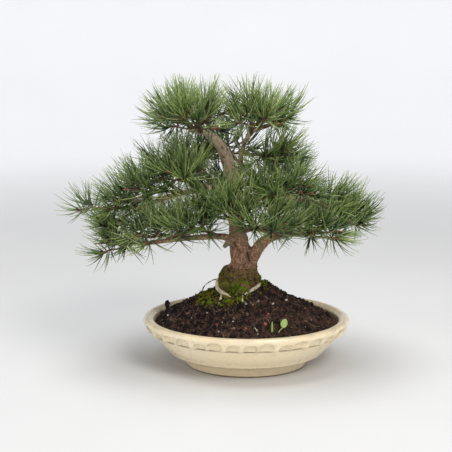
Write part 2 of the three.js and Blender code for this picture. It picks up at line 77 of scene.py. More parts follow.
# (radius, height) in mm, from the middle of the foot out, up and over the lip, and down inside
FOOT_OUTLINE = [(0, 0), (96, 0), (97.4, 1), (98.5, 11), (108, 15.8), (119, 20.8)]
BODY_OUTLINE = [(121.2, 21.7), (124, 22.2), (125.8, 23.6), (127.4, 26.2), (139, 38)]
BAND_OUTLINE = [(151.6, 54.5), (152.6, 55.5), (155.8, 55.8), (158, 57.2), (160.1, 61.5)]
LIP_OUTLINE = [(161.7, 66.2), (164.6, 70.2), (165, 72.8), (163.2, 76.4), (158.8, 78), (153.5, 77.6)]
INNER_WALL = [(148.3, 73.5), (146.5, 66), (137.5, 51), (126, 33), (107, 21.5)]
INNER_FLOOR = [(91, 13.7), (60, 12.4), (0, 12)]


def metres(sizes):
    """The same nest of sizes in metres, where they are written in millimetres."""
    return tuple(metres(size) for size in sizes) if isinstance(sizes, (tuple, list)) else sizes / 1000


def on_line(stations, place):
    """A point of the smooth line through the stations: place 1.5 is midway from the second to the third."""
    points = [Vector(station) for station in stations]
    points = [2 * points[0] - points[1], *points, 2 * points[-1] - points[-2]]
    number = min(int(place), len(stations) - 2)
    before, start, stop, after = points[number:number + 4]
    t = place - number
    bend = (stop - before) * t + (2 * before - 5 * start + 4 * stop - after) * t**2
    return start + 0.5 * (bend + (3 * start - before - 3 * stop + after) * t**3)


def smooth_line(stations, step):
    """Points about a step apart on the smooth line through the stations."""
    points = [Vector(stations[0])]
    for number, (start, stop) in enumerate(zip(stations, stations[1:])):
        parts = max(1, round((Vector(stop) - Vector(start)).length / step))
        points += [on_line(stations, number + part / parts) for part in range(1, parts + 1)]
    return points


def oval_place(turn, radius, height):
    """A point on the oval at that turn, where radius is its half-length."""
    even = turn + OVAL_EVEN * math.sin(2 * turn)
    return Vector((radius * math.cos(even), OVAL * radius * math.sin(even), height))


def turned(profile, sides):
    """A closed round body: the profile of (radius, height) spun about the upright axis."""
    bm = bmesh.new()
    line = [bm.verts.new((radius, 0, height)) for radius, height in profile]
    edges = [bm.edges.new(pair) for pair in zip(line, line[1:])]
    bmesh.ops.spin(
        bm, geom=line + edges, cent=(0, 0, 0), axis=(0, 0, 1), angle=2 * math.pi, steps=sides, use_merge=True
    )
    bmesh.ops.remove_doubles(bm, verts=bm.verts, dist=1e-6)
    bmesh.ops.recalc_face_normals(bm, faces=bm.faces)
    return bm


def smoothed(share):
    share = min(1, max(0, share))
    return share * share * (3 - 2 * share)


def mesh_of(bm):
    """A mesh of the bmesh, which is used up."""
    mesh = bpy.data.meshes.new("shape")
    bm.to_mesh(mesh)
    bm.free()
    return mesh


def loose(name, data):
    thing = bpy.data.objects.new(name, data)
    bpy.context.scene.collection.objects.link(thing)
    return thing


def finish_piece(name, shape, finish, slot, *replaced):
    """Makes the piece from its bmesh or mesh, in place, and ties it to the frame."""
    mesh = mesh_of(shape) if isinstance(shape, bmesh.types.BMesh) else shape
    mesh.name = name
    mesh.materials.clear()
    mesh.materials.append(finish.material)
    mesh.shade_smooth()
    piece = loose(name, mesh)
    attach(piece, "root")
    if replaced:
        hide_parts(*replaced)
    return piece


def baked(thing):
    """The thing's mesh with its modifiers applied; the thing itself is removed."""
    bpy.context.view_layer.update()
    mesh = bpy.data.meshes.new_from_object(thing.evaluated_get(bpy.context.evaluated_depsgraph_get()))
    bpy.data.objects.remove(thing)
    return mesh


def press_in(turn, height):
    """How deep the thumb went here, from 0 to 1: an arch that leans, steeper on one side."""
    up = (height - BAND_BOTTOM) / (BAND_TOP - BAND_BOTTOM)
    place = turn / (2 * math.pi) * HOLLOWS + HOLLOW_TURN
    number = round(place - HOLLOW_LEAN * (up - 0.5))
    uneven = 0.2 * math.sin(number * 2.4)
    across = (place - number - HOLLOW_LEAN * (up - 0.5) + 0.4 * uneven) / (0.48 + 0.3 * uneven)
    inside = 1 - math.hypot(across, max(0, (up - 0.42) / (0.58 + uneven)))
    return smoothed(inside / (0.42 if across < 0 else 0.62)) * smoothed((up + 0.25) / 0.2)


profile = FOOT_OUTLINE + BODY_OUTLINE + BAND_OUTLINE + LIP_OUTLINE + INNER_WALL + INNER_FLOOR
bm = turned(smooth_line(metres(profile), POT_STEP), POT_SIDES)
pressed = bm.verts.layers.float.new("pressed")
for vert in bm.verts:
    turn, radius, height = math.atan2(vert.co.y, vert.co.x), vert.co.xy.length, vert.co.z
    hand = noise.noise(vert.co * 14) * 0.0007 * smoothed(height / 0.03)
    if radius > 0.1535 and BAND_BOTTOM - 0.002 < height < BAND_TOP + 0.002:
        vert[pressed] = press_in(turn, height)
        in_band = smoothed((height - BAND_BOTTOM) / 0.003) * smoothed((BAND_TOP - height) / 0.004)
        hand += RIDGE_SWELL * in_band * (1 - 2 * vert[pressed]) * (1 + noise.noise(vert.co * 90))
    vert.co = oval_place(turn, radius + hand - HOLLOW_DEPTH * vert[pressed], height)
pot_body = loose("pot_body", mesh_of(bm))
cut_things = []
length, width, depth = DRAIN_GROOVE
for side in (-1, 1):
    hole, groove = bmesh.new(), bmesh.new()
    bmesh.ops.create_cone(
        hole, cap_ends=True, segments=48, radius1=DRAIN_RADIUS, radius2=DRAIN_RADIUS, depth=DRAIN_CUT,
        matrix=Matrix.Translation((side * DRAIN_X, 0, 0)),
    )
    outward = Matrix.Translation((side * (DRAIN_X + length / 2), 0, 0))
    bmesh.ops.create_cube(groove, matrix=outward @ Matrix.Diagonal((length, width, 2 * depth, 1)))
    for shape in (hole, groove):
        cut_things.append(loose("drain_cut", mesh_of(shape)))
        cut = pot_body.modifiers.new("drain", "BOOLEAN")
        cut.operation, cut.solver, cut.object = "DIFFERENCE", "EXACT", cut_things[-1]
pot_mesh = baked(pot_body)
for thing in cut_things:
    bpy.data.objects.remove(thing)


def feed(tree, socket, value):
    """Links the socket that the value comes from, or sets a plain value."""
    if isinstance(value, bpy.types.NodeSocket):
        tree.links.new(value, socket)
    else:
        socket.default_value = (*value, 1) if socket.type == "RGBA" else value


def add(tree, kind, settings, inputs):
    """Adds a node with those options, and feeds its inputs by name or number."""
    made = tree.nodes.new("ShaderNode" + kind)
    for option, value in settings.items():
        setattr(made, option, value)
    for name, value in inputs.items():
        feed(tree, made.inputs[name], value)
    return made


def ramp(tree, value, low, high):
    """0 where the value is low and 1 where it is high."""
    inputs = {"Value": value, "From Min": low, "From Max": high}
    return add(tree, "MapRange", {"interpolation_type": "SMOOTHSTEP"}, inputs).outputs["Result"]


def cloudy_group():
    """A soft mask of patches with finer patches in them: the wear, damp and colour of every piece, and some
    painted shade.
    """
    group = bpy.data.node_groups.new("patches", "ShaderNodeTree")
    group.interface.new_socket("Vector", in_out="INPUT", socket_type="NodeSocketVector")
    for name, value in (("Scale", 60.0), ("Low", 0.4), ("High", 0.6)):
        group.interface.new_socket(name, in_out="INPUT", socket_type="NodeSocketFloat").default_value = value
    group.interface.new_socket("Mask", in_out="OUTPUT", socket_type="NodeSocketFloat")
    given, result = group.nodes.new("NodeGroupInput").outputs, group.nodes.new("NodeGroupOutput").inputs
    inputs = {"Vector": given["Vector"], "Scale": given["Scale"], "Detail": 5.0, "Roughness": 0.6}
    cloud = add(group, "TexNoise", {}, inputs).outputs["Fac"]
    feed(group, result["Mask"], ramp(group, cloud, given["Low"], given["High"]))
    return group


PATCHES = cloudy_group()


class Finish:
    """A material: one Principled shader with its plain values, and colours laid one over another."""

    def __init__(self, name, base, **values):
        self.material = bpy.data.materials.new(name)
        self.material.use_nodes = True
        self.tree, self.color = self.material.node_tree, base
        self.shader = self.tree.nodes["Principled BSDF"].inputs
        for socket, value in values.items():
            feed(self.tree, self.shader[socket.replace("_", " ")], value)

    def here(self):
        """The point on the piece, in the object's own coordinates."""
        return add(self.tree, "TexCoord", {}, {}).outputs["Object"]

    def attribute(self, name):
        return add(self.tree, "Attribute", {"attribute_name": name}, {}).outputs["Fac"]

    def ramp(self, value, low, high):
        return ramp(self.tree, value, low, high)

    def axis(self, name):
        return add(self.tree, "SeparateXYZ", {}, {"Vector": self.here()}).outputs[name]

    def level(self, low, high):
        """A ramp from one height to another."""
        return self.ramp(self.axis("Z"), low, high)

    def belt(self, start, full, still, end):
        """1 between the two middle heights and 0 beyond the outer ones."""
        return self.product(self.level(start, full), self.level(end, still))

    def near(self, point, out, within):
        """A ramp from one distance to another from the point."""
        inputs = {0: self.here(), 1: point}
        apart = add(self.tree, "VectorMath", {"operation": "DISTANCE"}, inputs).outputs["Value"]
        return self.ramp(apart, out, within)

    def patches(self, scale, low, high):
        """Cloudy patches, about as many in a metre as the scale says."""
        inputs = {"Vector": self.here(), "Scale": scale, "Low": low, "High": high}
        return add(self.tree, "Group", {"node_tree": PATCHES}, inputs).outputs["Mask"]

    def figure(self, operation, first, second=0.0):
        settings = {"operation": operation, "use_clamp": True}
        return add(self.tree, "Math", settings, {0: first, 1: second}).outputs[0]

    def product(self, *masks):
        """The masks multiplied. Each is a socket, a share, or the scale and the limits of patches."""
        masks = [self.patches(*mask) if isinstance(mask, tuple) else mask for mask in masks]
        whole = masks[0]
        for mask in masks[1:]:
            whole = self.figure("MULTIPLY", whole, mask)
        return whole

    def mix(self, first, second, *masks):
        """The second colour over the first where all the masks are high."""
        inputs = {0: self.product(*masks), 6: first, 7: second}
        return add(self.tree, "Mix", {"data_type": "RGBA"}, inputs).outputs[2]

    def coat(self, color, *masks):
        """Lays a colour over those before it, where all the masks are high."""
        self.color = self.mix(self.color, color, *masks)
        feed(self.tree, self.shader["Base Color"], self.color)

    def dulled(self, scale, least, most):
        """Roughness from the least to the most, in patches."""
        inputs = {"Value": self.patches(scale, 0.3, 0.7), "To Min": least, "To Max": most}
        varied = add(self.tree, "MapRange", {}, inputs).outputs["Result"]
        feed(self.tree, self.shader["Roughness"], varied)

    def bump(self, height, depth, strength):
        inputs = {"Height": height, "Distance": depth, "Strength": strength}
        bump = add(self.tree, "Bump", {}, inputs)
        feed(self.tree, self.shader["Normal"], bump.outputs["Normal"])

    def grain(self, scale, depth, strength, low=0.3, high=0.7):
        """Fine relief in patches."""
        self.bump(self.patches(scale, low, high), depth, strength)


GLAZE_CREAM = (0.885, 0.74, 0.485)
# A darker tone of the glaze: laid on the lower body and on the lip, and, as painted shade, in concave places.
GLAZE_DARKER = (0.69, 0.54, 0.325)
GLAZE_POOLED = (0.89, 0.785, 0.575)
# Painted shade for the pot's creases: the walls of the hollows, under the band and under the ledge.
CREASE_SHADE = (0.25, 0.18, 0.09)
DUST = (0.48, 0.43, 0.35)
FILM_GREEN = (0.33, 0.36, 0.15)
BARE_CLAY = (0.11, 0.058, 0.03)
SPECKLE = (0.13, 0.095, 0.055)
HOLLOW_SHADE = ((0.02, 0.3), (0.8, 0.4))  # how deep the thumb went, where the painted shade begins and where it ends
SEAM = (0.0536, 0.0552, 0.0556, 0.057)  # heights of the painted shadow under the band's overhang
LEDGE = (0.015, 0.02, 0.022, 0.0226)  # heights of the painted shade in the crease under the body's ledge

glaze = Finish("cream_glaze", GLAZE_CREAM, Roughness=0.3, Coat_Weight=0.5, Coat_Roughness=0.12)
lip = glaze.level(0.0715, 0.0765)
glaze.coat(GLAZE_POOLED, (16, 0.3, 0.75), 0.5)
glaze.coat(GLAZE_DARKER, glaze.level(0.046, 0.006), 0.35)
# Painted shade: the walls of the pressed hollows are darkened in uneven patches, where the lip and the ridges
# shade them.
hollow_shade = [glaze.ramp(glaze.attribute("pressed"), *depths) for depths in HOLLOW_SHADE]
glaze.coat(CREASE_SHADE, *hollow_shade, (60, 0.46, 0.6), 0.38)
# Painted shadow: a dark, uneven line under the band, where it overhangs the body.
glaze.coat(CREASE_SHADE, glaze.belt(*SEAM), (52, 0.36, 0.52), 0.6)
# Painted shade: a dark line in the crease under the body's ledge.
glaze.coat(CREASE_SHADE, glaze.belt(*LEDGE), 0.35)
ends = glaze.ramp(glaze.figure("ABSOLUTE", glaze.axis("X")), 0.1, 0.155)
glaze.coat(FILM_GREEN, ends, glaze.level(0.048, 0.06), (48, 0.44, 0.62), 0.42)
glaze.coat(GLAZE_DARKER, lip, 0.45)
glaze.coat(DUST, lip, (40, 0.42, 0.66), 0.4)
glaze.coat(SPECKLE, (420, 0.66, 0.72), lip, 0.7)
# Painted shade: the glaze is darkened in concave places, such as the hollows and creases.
curved = add(glaze.tree, "NewGeometry", {}, {}).outputs["Pointiness"]
glaze.coat(GLAZE_DARKER, glaze.ramp(curved, 0.49, 0.43), 0.25)
glaze.coat(BARE_CLAY, glaze.level(1.6 * FOOT_EDGE, 0.6 * FOOT_EDGE))
glaze.dulled(90, 0.24, 0.4)
glaze.grain(150, 0.00025, 0.35, 0.2, 0.8)

finish_piece("pot_glazed", pot_mesh, glaze, "pot_glaze", "pot")

# ---- Drainage mesh
# Two squares of black moulded plastic net, laid over the drainage holes before the earth goes in.
# They show only from below, through the holes, and keep the earth in.

PLASTIC_BLACK = (0.012, 0.012, 0.013)
PLASTIC_DUSTY = (0.045, 0.04, 0.034)

plastic = Finish("black_plastic", PLASTIC_BLACK, Roughness=0.55)
plastic.coat(PLASTIC_DUSTY, (300, 0.4, 0.6))
plastic.grain(1500, 0.0002, 0.5)
for side in ("left", "right"):
    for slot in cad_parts[f"drainage_mesh_{side}"].material_slots:
        slot.material = plastic.material

# ---- Soil
# Dark crumbly potting earth, heaped by hand into a mound round the root flare and settled by
# watering. Its skin is lumps and crumbs, with pale grit, red grit, dead needles and root fibres.

SOIL_EDGE = 0.069
SOIL_RISE = 0.066
SOIL_SLOPE = 1.21  # 1 is a cone and 2 a dome
SOIL_SLOPE_FRONT = 1.5
SOIL_SHIFT = -0.008  # of the peak from the middle of the pot
HEAP_PLACE = (0.036, 0.004)  # earth drawn up against the trunk
HEAP_RISE = 0.01
HEAP_REACH = 0.019
SOIL_RADIUS = 0.147
SOIL_CLOD = 0.0018
SOIL_BELOW = [(0, 0.0125), (0.0905, 0.0142), (0.1255, 0.0335), (0.146, SOIL_EDGE - 0.001)]
SOIL_RING = 0.0018  # between rings of the skin
TRUNK_FOOT = (-0.012, 0.002)  # where the trunk stands in the soil
TRUNK_FOOT_RADIUS = 0.034
LITTER_EDGE = 0.97  # of the soil's radius: nothing lies nearer to the wall


def mound(x, y):
    """Height of the heap, with its clods, before it crumbles."""
    from_middle = min(1, math.hypot(x, y / OVAL) / SOIL_RADIUS)
    beside = x - SOIL_SHIFT * (1 - from_middle)
    share = min(1, math.hypot(beside, y / OVAL) / SOIL_RADIUS)
    front = max(0, -y / OVAL) / (SOIL_RADIUS * share + 0.001)
    slope = SOIL_SLOPE + (SOIL_SLOPE_FRONT - SOIL_SLOPE) * front * front
    clods = math.sin(210 * x + 1) * math.sin(260 * y) + 0.7 * math.sin(370 * x - 310 * y + 2)
    heap = HEAP_RISE * math.exp(-((x - HEAP_PLACE[0]) ** 2 + (y - HEAP_PLACE[1]) ** 2) / HEAP_REACH**2)
    return SOIL_EDGE + SOIL_RISE * (1 - share**slope) + SOIL_CLOD * clods * min(1, 5 * (1 - share)) + heap


def soil_height(x, y):
    """Height of the crumbled skin: lumps of about 12 and 5 mm with sharp dips between them."""
    place = Vector((x, y, 0.3))
    lumps = 0.0034 * noise.noise(place * 80) + 0.0016 * noise.noise(place * 240)
    dips = 0.0034 * min(0.6, noise.voronoi(place * 130)[0][0])
    inward = smoothed((1 - math.hypot(x, y / OVAL) / SOIL_RADIUS) * 12)
    return mound(x, y) + (lumps - dips + 0.0011) * inward


rings = [(SOIL_RADIUS - number * SOIL_RING, SOIL_EDGE) for number in range(1, round(SOIL_RADIUS / SOIL_RING))]
bm = turned(SOIL_BELOW + rings + [(0, SOIL_EDGE)], POT_SIDES)
for vert in bm.verts:
    turn, radius, height = math.atan2(vert.co.y, vert.co.x), vert.co.xy.length, vert.co.z
    vert.co = oval_place(turn, radius, height)
    if height > SOIL_EDGE - 1e-5:
        vert.co.z = soil_height(vert.co.x, vert.co.y)

EARTH_DARK = (0.0075, 0.0048, 0.0042)
EARTH_BROWN = (0.1, 0.052, 0.034)
EARTH_DRY = (0.24, 0.15, 0.105)


def browned(finish):
    """The earth is browner to the right of the trunk."""
    finish.coat(EARTH_BROWN, finish.ramp(finish.axis("X"), -0.03, 0.06), (60, 0.35, 0.6), 0.5)


earth = Finish("damp_earth", EARTH_DARK, Roughness=0.92, Specular_IOR_Level=0.3)
earth.coat(EARTH_BROWN, (120, 0.4, 0.62))
earth.coat(EARTH_DRY, (520, 0.55, 0.7), 0.6)
browned(earth)
earth.grain(700, 0.0012, 0.8)
finish_piece("soil_mound", bm, earth, "soil_dark", "soil")


def on_soil(draw, reach=LITTER_EDGE):
    """A point of the soil's skin clear of the trunk, drawn evenly over its oval."""
    while True:
        turn, out = draw.uniform(0, 2 * math.pi), reach * SOIL_RADIUS * math.sqrt(draw.random())
        place = oval_place(turn, out, 0)
        if (place.xy - Vector(TRUNK_FOOT)).length > TRUNK_FOOT_RADIUS:
            place.z = soil_height(place.x, place.y)
            return place


def any_turn(draw):
    return Quaternion([draw.gauss(0, 1) for _ in range(4)]).normalized().to_matrix().to_4x4()


def shape_of(bm):
    """A mesh of the bmesh, to be copied by stamp()."""
    bm.verts.layers.float.new("tint")
    return mesh_of(bm)


def stamp(bm, shape, matrix, tint):
    """Adds a copy of the shape, placed by the matrix, with one tint all over."""
    placed = shape.copy()
    placed.transform(matrix)
    placed.attributes["tint"].data.foreach_set("value", [tint] * len(placed.vertices))
    bm.from_mesh(placed)
    bpy.data.meshes.remove(placed)


def lump(draw, rough):
    """A lump of about unit radius with a few flat sides."""
    bm = bmesh.new()
    bmesh.ops.create_icosphere(bm, subdivisions=1, radius=1)
    for vert in bm.verts:
        vert.co += Vector([draw.uniform(-rough, rough) for _ in range(3)])
    return shape_of(bm)


def scatter(bm, count, shapes, sizes, draw, sink):
    """Copies of the shapes on the soil, most of them near the smaller of the two sizes."""
    for _ in range(count):
        size = sizes[0] * (sizes[1] / sizes[0]) ** draw.random() ** 1.6
        spot = on_soil(draw) + Vector((0, 0, size * (0.5 - sink)))
        stretch = Matrix.Diagonal([size * draw.uniform(0.55, 1.35) for _ in range(3)] + [1])
        stamp(bm, draw.choice(shapes), Matrix.Translation(spot) @ any_turn(draw) @ stretch, draw.random())


CRUMBS = 8500
CRUMB_SIZES = (0.0006, 0.0029)  # radius
CLODS = 110
CLOD_SIZES = (0.0028, 0.0055)
CRUMB_SHAPES = 9

draw = random.Random(11)
lumps = [lump(draw, 0.42) for _ in range(CRUMB_SHAPES)]
bm = bmesh.new()
scatter(bm, CLODS, lumps, CLOD_SIZES, draw, 0.8)
scatter(bm, CRUMBS, lumps, CRUMB_SIZES, draw, 0.35)
crumb = Finish("earth_crumbs", EARTH_DARK, Roughness=0.9, Specular_IOR_Level=0.3)
tint = crumb.attribute("tint")
crumb.coat(EARTH_BROWN, crumb.ramp(tint, 0.3, 0.95))
crumb.coat(EARTH_DRY, crumb.ramp(tint, 0.9, 0.97))
browned(crumb)
crumb.coat(EARTH_DARK, (75, 0.46, 0.6), 0.8)
crumb.grain(900, 0.0008, 0.7)
finish_piece("soil_crumbs", bm, crumb, "soil_dark")

# ---- Grit
# Pale pumice, quartz and a few chips of red brick clay, sieved into the earth and washed up to its
# skin by the rain.

GRIT_SHAPES = 5
GRITS = {  # how many, their radii, seed, two colours, and the larger ones one by one, in mm: x, y and radius
    "grit_pale": (
        90, (0.0005, 0.0012), 21, (0.4, 0.35, 0.3), (0.78, 0.74, 0.68),
        [(0, -60, 2.2), (42, -50, 2.1), (63, -24, 2.4), (-36, -85, 1.4), (-20, -86, 1.4), (-41, -98, 1.6),
         (-60, -63, 1.6), (-32, -89, 1.1), (11, -55, 1.8), (19, -52, 1.9), (-124, -22, 1.6)],
    ),
    "grit_red": (
        14, (0.001, 0.002), 22, (0.24, 0.05, 0.032), (0.42, 0.13, 0.095),
        [(34, -74, 2.6), (29, -91, 3), (-44, -86, 2.1), (0, -99, 2.6), (31, -79, 1.6)],
    ),
}
for name, (count, sizes, seed, dull, bright, placed) in GRITS.items():
    draw = random.Random(seed)
    bm = bmesh.new()
    shapes = [lump(draw, 0.35) for _ in range(GRIT_SHAPES)]
    scatter(bm, count, shapes, sizes, draw, 0.05)
    for x, y, radius in metres(placed):
        spot = Matrix.Translation((x, y, soil_height(x, y) + 0.7 * radius))
        stamp(bm, draw.choice(shapes), spot @ any_turn(draw) @ Matrix.Scale(radius, 4), draw.random())
    stone = Finish(name, dull, Roughness=0.8)
    stone.coat(bright, stone.attribute("tint"))
    stone.coat(EARTH_BROWN, (500, 0.45, 0.65), 0.6)
    finish_piece(name, bm, stone, "soil_dark")

# ---- Tree wood
# Trunk, second stem, branches and root flare grew as one. The young wood is grey-tan and scaly, the
# old trunk breaks into red-brown plates, and its foot is stained by lichen where the moss begins.

TRUNK = metres([  # x, y, z and radius, in millimetres
    (-9, 4, 90, 26), (-11, 3, 112, 36), (-11, 2, 128, 36.5), (-10, 1, 139, 34), (-7.5, 0, 148, 28),
    (-5.5, 0, 156, 23), (-4.5, 0, 168, 21.5), (-9.5, 0, 186, 17.5), (-11.5, 0, 199, 15.3),
    (-15, 2, 224, 13.5), (-17, 4, 256, 12.8), (-19, 4, 290, 12), (-28, 2, 320, 10.5), (-37, -1, 344, 9.4),
    (-49, -4, 361, 8), (-64, -7, 374, 5.6),
])
BRANCHES = {
    "east_low": [
        (3, -2, 164, 13.5), (12, -3, 177, 11), (22, -5, 194, 9.8), (42, -8, 209, 7.8), (82, -10, 216, 5.6),
        (118, -4, 218, 4.6),
    ],
    "second_stem": [(-16, 8, 262, 6), (-9, 14, 298, 5), (-9, 14, 334, 4), (-2, 8, 360, 3.6)],
    "west_low": [
        (-14, 0, 196, 7.5), (-36, -8, 208, 5.8), (-70, -12, 208, 4.8), (-112, -12, 204, 4.2),
        (-148, -14, 199, 3.5),
    ],
    "west_mid": [
        (-18, 4, 274, 8), (-46, 2, 284, 5.8), (-84, -2, 280, 4.8), (-124, -4, 270, 4.3),
        (-166, -8, 254, 3.6),
    ],
    "east_mid": [(-14, 8, 256, 7), (18, 12, 268, 6), (52, 6, 272, 5), (88, 0, 266, 4)],
    "front": [(-13, -6, 212, 8), (-8, -34, 222, 6.5), (-4, -64, 228, 5)],
    "back": [(-12, 12, 236, 8), (-16, 40, 248, 6.5), (-20, 68, 254, 5)],
    "stub": [(-14, -2, 192, 6), (-28, -4, 197, 5.2), (-36, -5, 190, 3)],
    "crown_west": [(-58, -6, 370, 5.4), (-76, -8, 374, 4.4), (-90, -8, 376, 3.6)],
    "crown_east": [(-3, 9, 356, 4.2), (10, 3, 374, 4), (26, -2, 380, 3.4)],
}
WOOD_STEP = 0.004  # between points along a limb
WOOD_VOXEL = 0.0011
PLATES_PER_METRE = 270
DEEPEST_BARK = 0.0017
BARK_SHARE = 0.12  # depth of the bark over the limb's radius, up to the deepest
FLUTE_DEPTH = 0.0028
FLUTES = 5
KNOB_TOP, KNOB_DEPTH = 0.166, 0.0034  # of the swellings on the root flare
SHELL_FOOT = 0.159  # the dry bark above ends here in a crack over the stained foot
CREVICE = ((0.003, 0.184), (0.006, 0.172))  # under the fork, on the front: x and z of its two ends
CREVICE_DEPTH = 0.0034
CREVICE_REACH = 0.0022
KNOB_SHIFT = Vector((3, 1, 7))  # within the noise
FLARE_TOP = 0.168
FLUTE_TURN = 0.96
WOOD_SEED = 7  # noise_vector gives another result each run unless it is seeded


def limbs(lines, step, sides=4):
    """Round limbs, each tapering along a smooth line through its stations, as one mesh."""
    curve = bpy.data.curves.new("limbs", "CURVE")
    curve.dimensions, curve.bevel_depth, curve.bevel_resolution, curve.use_fill_caps = "3D", 1, sides, True
    for stations in lines:
        points = smooth_line(stations, step)
        spline = curve.splines.new("POLY")
        spline.points.add(len(points) - 1)
        for knot, point in zip(spline.points, points):
            knot.co, knot.radius = (*point[:3], 1), point[3]
    return baked(loose("limbs", curve))


def bark_relief(place):
    """Height of the bark there, from 0 in a crack to 1 on a proud plate, and how near a crack is."""
    stretched = Vector((place.x, place.y, 0.5 * place.z)) + noise.noise_vector(place * 130) * 0.0022
    distances, middles = noise.voronoi(stretched * PLATES_PER_METRE)
    crack = smoothed((distances[1] - distances[0]) / 0.42)
    plate = 0.5 + 0.7 * noise.noise(middles[0] * 7.3)
    swelling = noise.noise(place * 110)
    flakes = noise.noise(Vector((place.x, place.y, 0.6 * place.z)) * 560)
    return 0.6 * crack * plate + 0.7 * swelling + 0.3 * flakes, (1 - crack) * (0.5 - swelling)


def in_crevice(place):
    """1 in the middle of the crevice under the fork, and 0 away from it."""
    top, foot = (Vector((x, 0, z)) for x, z in CREVICE)
    flat = Vector((place.x, 0, place.z))
    share = min(1, max(0, (flat - top).dot(foot - top) / (foot - top).length_squared))
    beside = (flat - top.lerp(foot, share)).length
    return math.exp(-((beside / CREVICE_REACH) ** 2)) if place.y < -0.004 else 0


noise.seed_set(WOOD_SEED)
wood_lines = [TRUNK, *metres(list(BRANCHES.values()))]
wood = loose("wood", limbs(wood_lines, WOOD_STEP, sides=6))
remesh = wood.modifiers.new("grown_together", "REMESH")
remesh.mode, remesh.voxel_size = "VOXEL", WOOD_VOXEL
bm = bmesh.new()
bm.from_mesh(baked(wood))
samples = [point for stations in wood_lines for point in smooth_line(stations, WOOD_STEP)]
nearest = kdtree.KDTree(len(samples))
for number, sample in enumerate(samples):
    nearest.insert(sample.to_3d(), number)
nearest.balance()
bmesh.ops.smooth_vert(bm, verts=bm.verts, factor=0.5, use_axis_x=True, use_axis_y=True, use_axis_z=True)
bm.normal_update()
girth, cracked = bm.verts.layers.float.new("girth"), bm.verts.layers.float.new("cracked")
for vert in bm.verts:
    vert[girth] = samples[nearest.find(vert.co)[1]][3]
moves = []
for vert in bm.verts:
    relief, vert[cracked] = bark_relief(vert.co)
    swollen = smoothed((KNOB_TOP - vert.co.z) / 0.012)
    knobs = KNOB_DEPTH * noise.noise(vert.co * 75 + KNOB_SHIFT) * swollen
    depth = min(DEEPEST_BARK, BARK_SHARE * vert[girth])
    around = math.atan2(vert.co.y - TRUNK_FOOT[1], vert.co.x - TRUNK_FOOT[0])
    flare = smoothed((FLARE_TOP - vert.co.z) / 0.03) * smoothed(vert[girth] / 0.02)
    flute = FLUTE_DEPTH * flare * math.sin(FLUTE_TURN - FLUTES * around)
    over_shell = vert.co.z - SHELL_FOOT - 0.0016 * noise.noise(vert.co * 120)
    shell = 0.0011 * math.exp(-((over_shell / 0.004) ** 2)) - 0.0022 * math.exp(-((over_shell / 0.0009) ** 2))
    crevice = in_crevice(vert.co)
    vert[cracked] = max(vert[cracked], 1.2 * crevice, smoothed(1 - abs(over_shell) / 0.001) * flare)
    rise = depth * (relief - 0.6) + flute + shell * flare + knobs - CREVICE_DEPTH * crevice
    moves.append(vert.normal * rise)
for vert, move in zip(bm.verts, moves):
    vert.co += move

BARK_OLD = (0.24, 0.122, 0.072)
BARK_FLAKE = (0.52, 0.325, 0.205)
BARK_YOUNG = (0.56, 0.43, 0.3)
BARK_DARK = (0.022, 0.011, 0.007)
BARK_TAN = (0.34, 0.235, 0.11)
LICHEN_OLIVE = (0.2, 0.148, 0.04)
LICHEN_GREY = (0.2, 0.205, 0.15)
STUB_END = (-0.034, -0.004, 0.193)

bark = Finish("pine_bark", BARK_OLD, Roughness=0.85, Specular_IOR_Level=0.3)
bark.coat(BARK_FLAKE, (300, 0.42, 0.68))
bark.coat(bark.mix(BARK_YOUNG, BARK_OLD, (180, 0.48, 0.8)), bark.level(0.235, 0.3))
stained = bark.mix(BARK_OLD, LICHEN_OLIVE, (150, 0.4, 0.6))
stained = bark.mix(stained, BARK_TAN, (330, 0.58, 0.66), 0.7)
stained = bark.mix(stained, BARK_DARK, (210, 0.5, 0.61), 0.8)
bark.coat(stained, bark.level(SHELL_FOOT + 0.0012, SHELL_FOOT - 0.0004), 0.92)
bark.coat(LICHEN_GREY, bark.near(STUB_END, 0.015, 0.008), (200, 0.3, 0.55), 0.8)
# Painted shade: the bark is darkened in its cracks, in the crevice under the fork and in the crack over the
# stained foot.
bark.coat(BARK_DARK, bark.ramp(bark.attribute("cracked"), 0.35, 1.0), 0.75)
bark.grain(900, 0.0005, 0.7)
wood_piece = finish_piece("trunk_and_branches", bm, bark, "pine_bark", "tree_wood")

# ---- Surface roots
# Two pale roots, washed bare, run over the front of the mound; a thin one turns down into it. A
# wiry dark root arches clear of the earth on the left, and one pale rootlet stands up in front.

PALE_ROOTS = [
    [(-44, -8, 137, 4), (-46, -20, 129.5, 3.2), (-40, -30, 124.5, 2.9), (-31, -37, 121.8, 2.1),
     (-24, -41, 119, 1)],
    [(-38, -32, 122, 1.8), (-40, -44, 116, 1.3), (-43, -56, 109, 0.9)],
    [(21, -17, 133, 2.8), (16, -27, 131, 2.7), (8, -33, 127.5, 2.5), (1, -39, 124.5, 2),
     (-4, -42, 120.5, 1.1)],
    [(-5, -51, 124.5, 0.6), (-5.5, -53, 120, 0.9), (-6, -56, 112, 1)],
]
WIRY_ROOTS = [
    [(-44, -4, 139, 0.9), (-56, -2, 134.5, 0.8), (-66, 0, 126.5, 0.7), (-70, 2, 118, 0.7),
     (-71, 3, 108, 0.6)],
]
ROOT_KNOBS = 0.0011
ROOT_PALE = (0.76, 0.65, 0.47)
ROOT_STAIN = (0.3, 0.2, 0.115)


def knobbled(mesh, depth):
    """The limb's bmesh with knobs and hollows about that deep."""
    bm = bmesh.new()
    bm.from_mesh(mesh)
    bm.normal_update()
    for vert in bm.verts:
        knobs = noise.noise(vert.co * 320) + 0.5 * noise.noise(vert.co * 900)
        vert.co += vert.normal * knobs * depth
    return bm


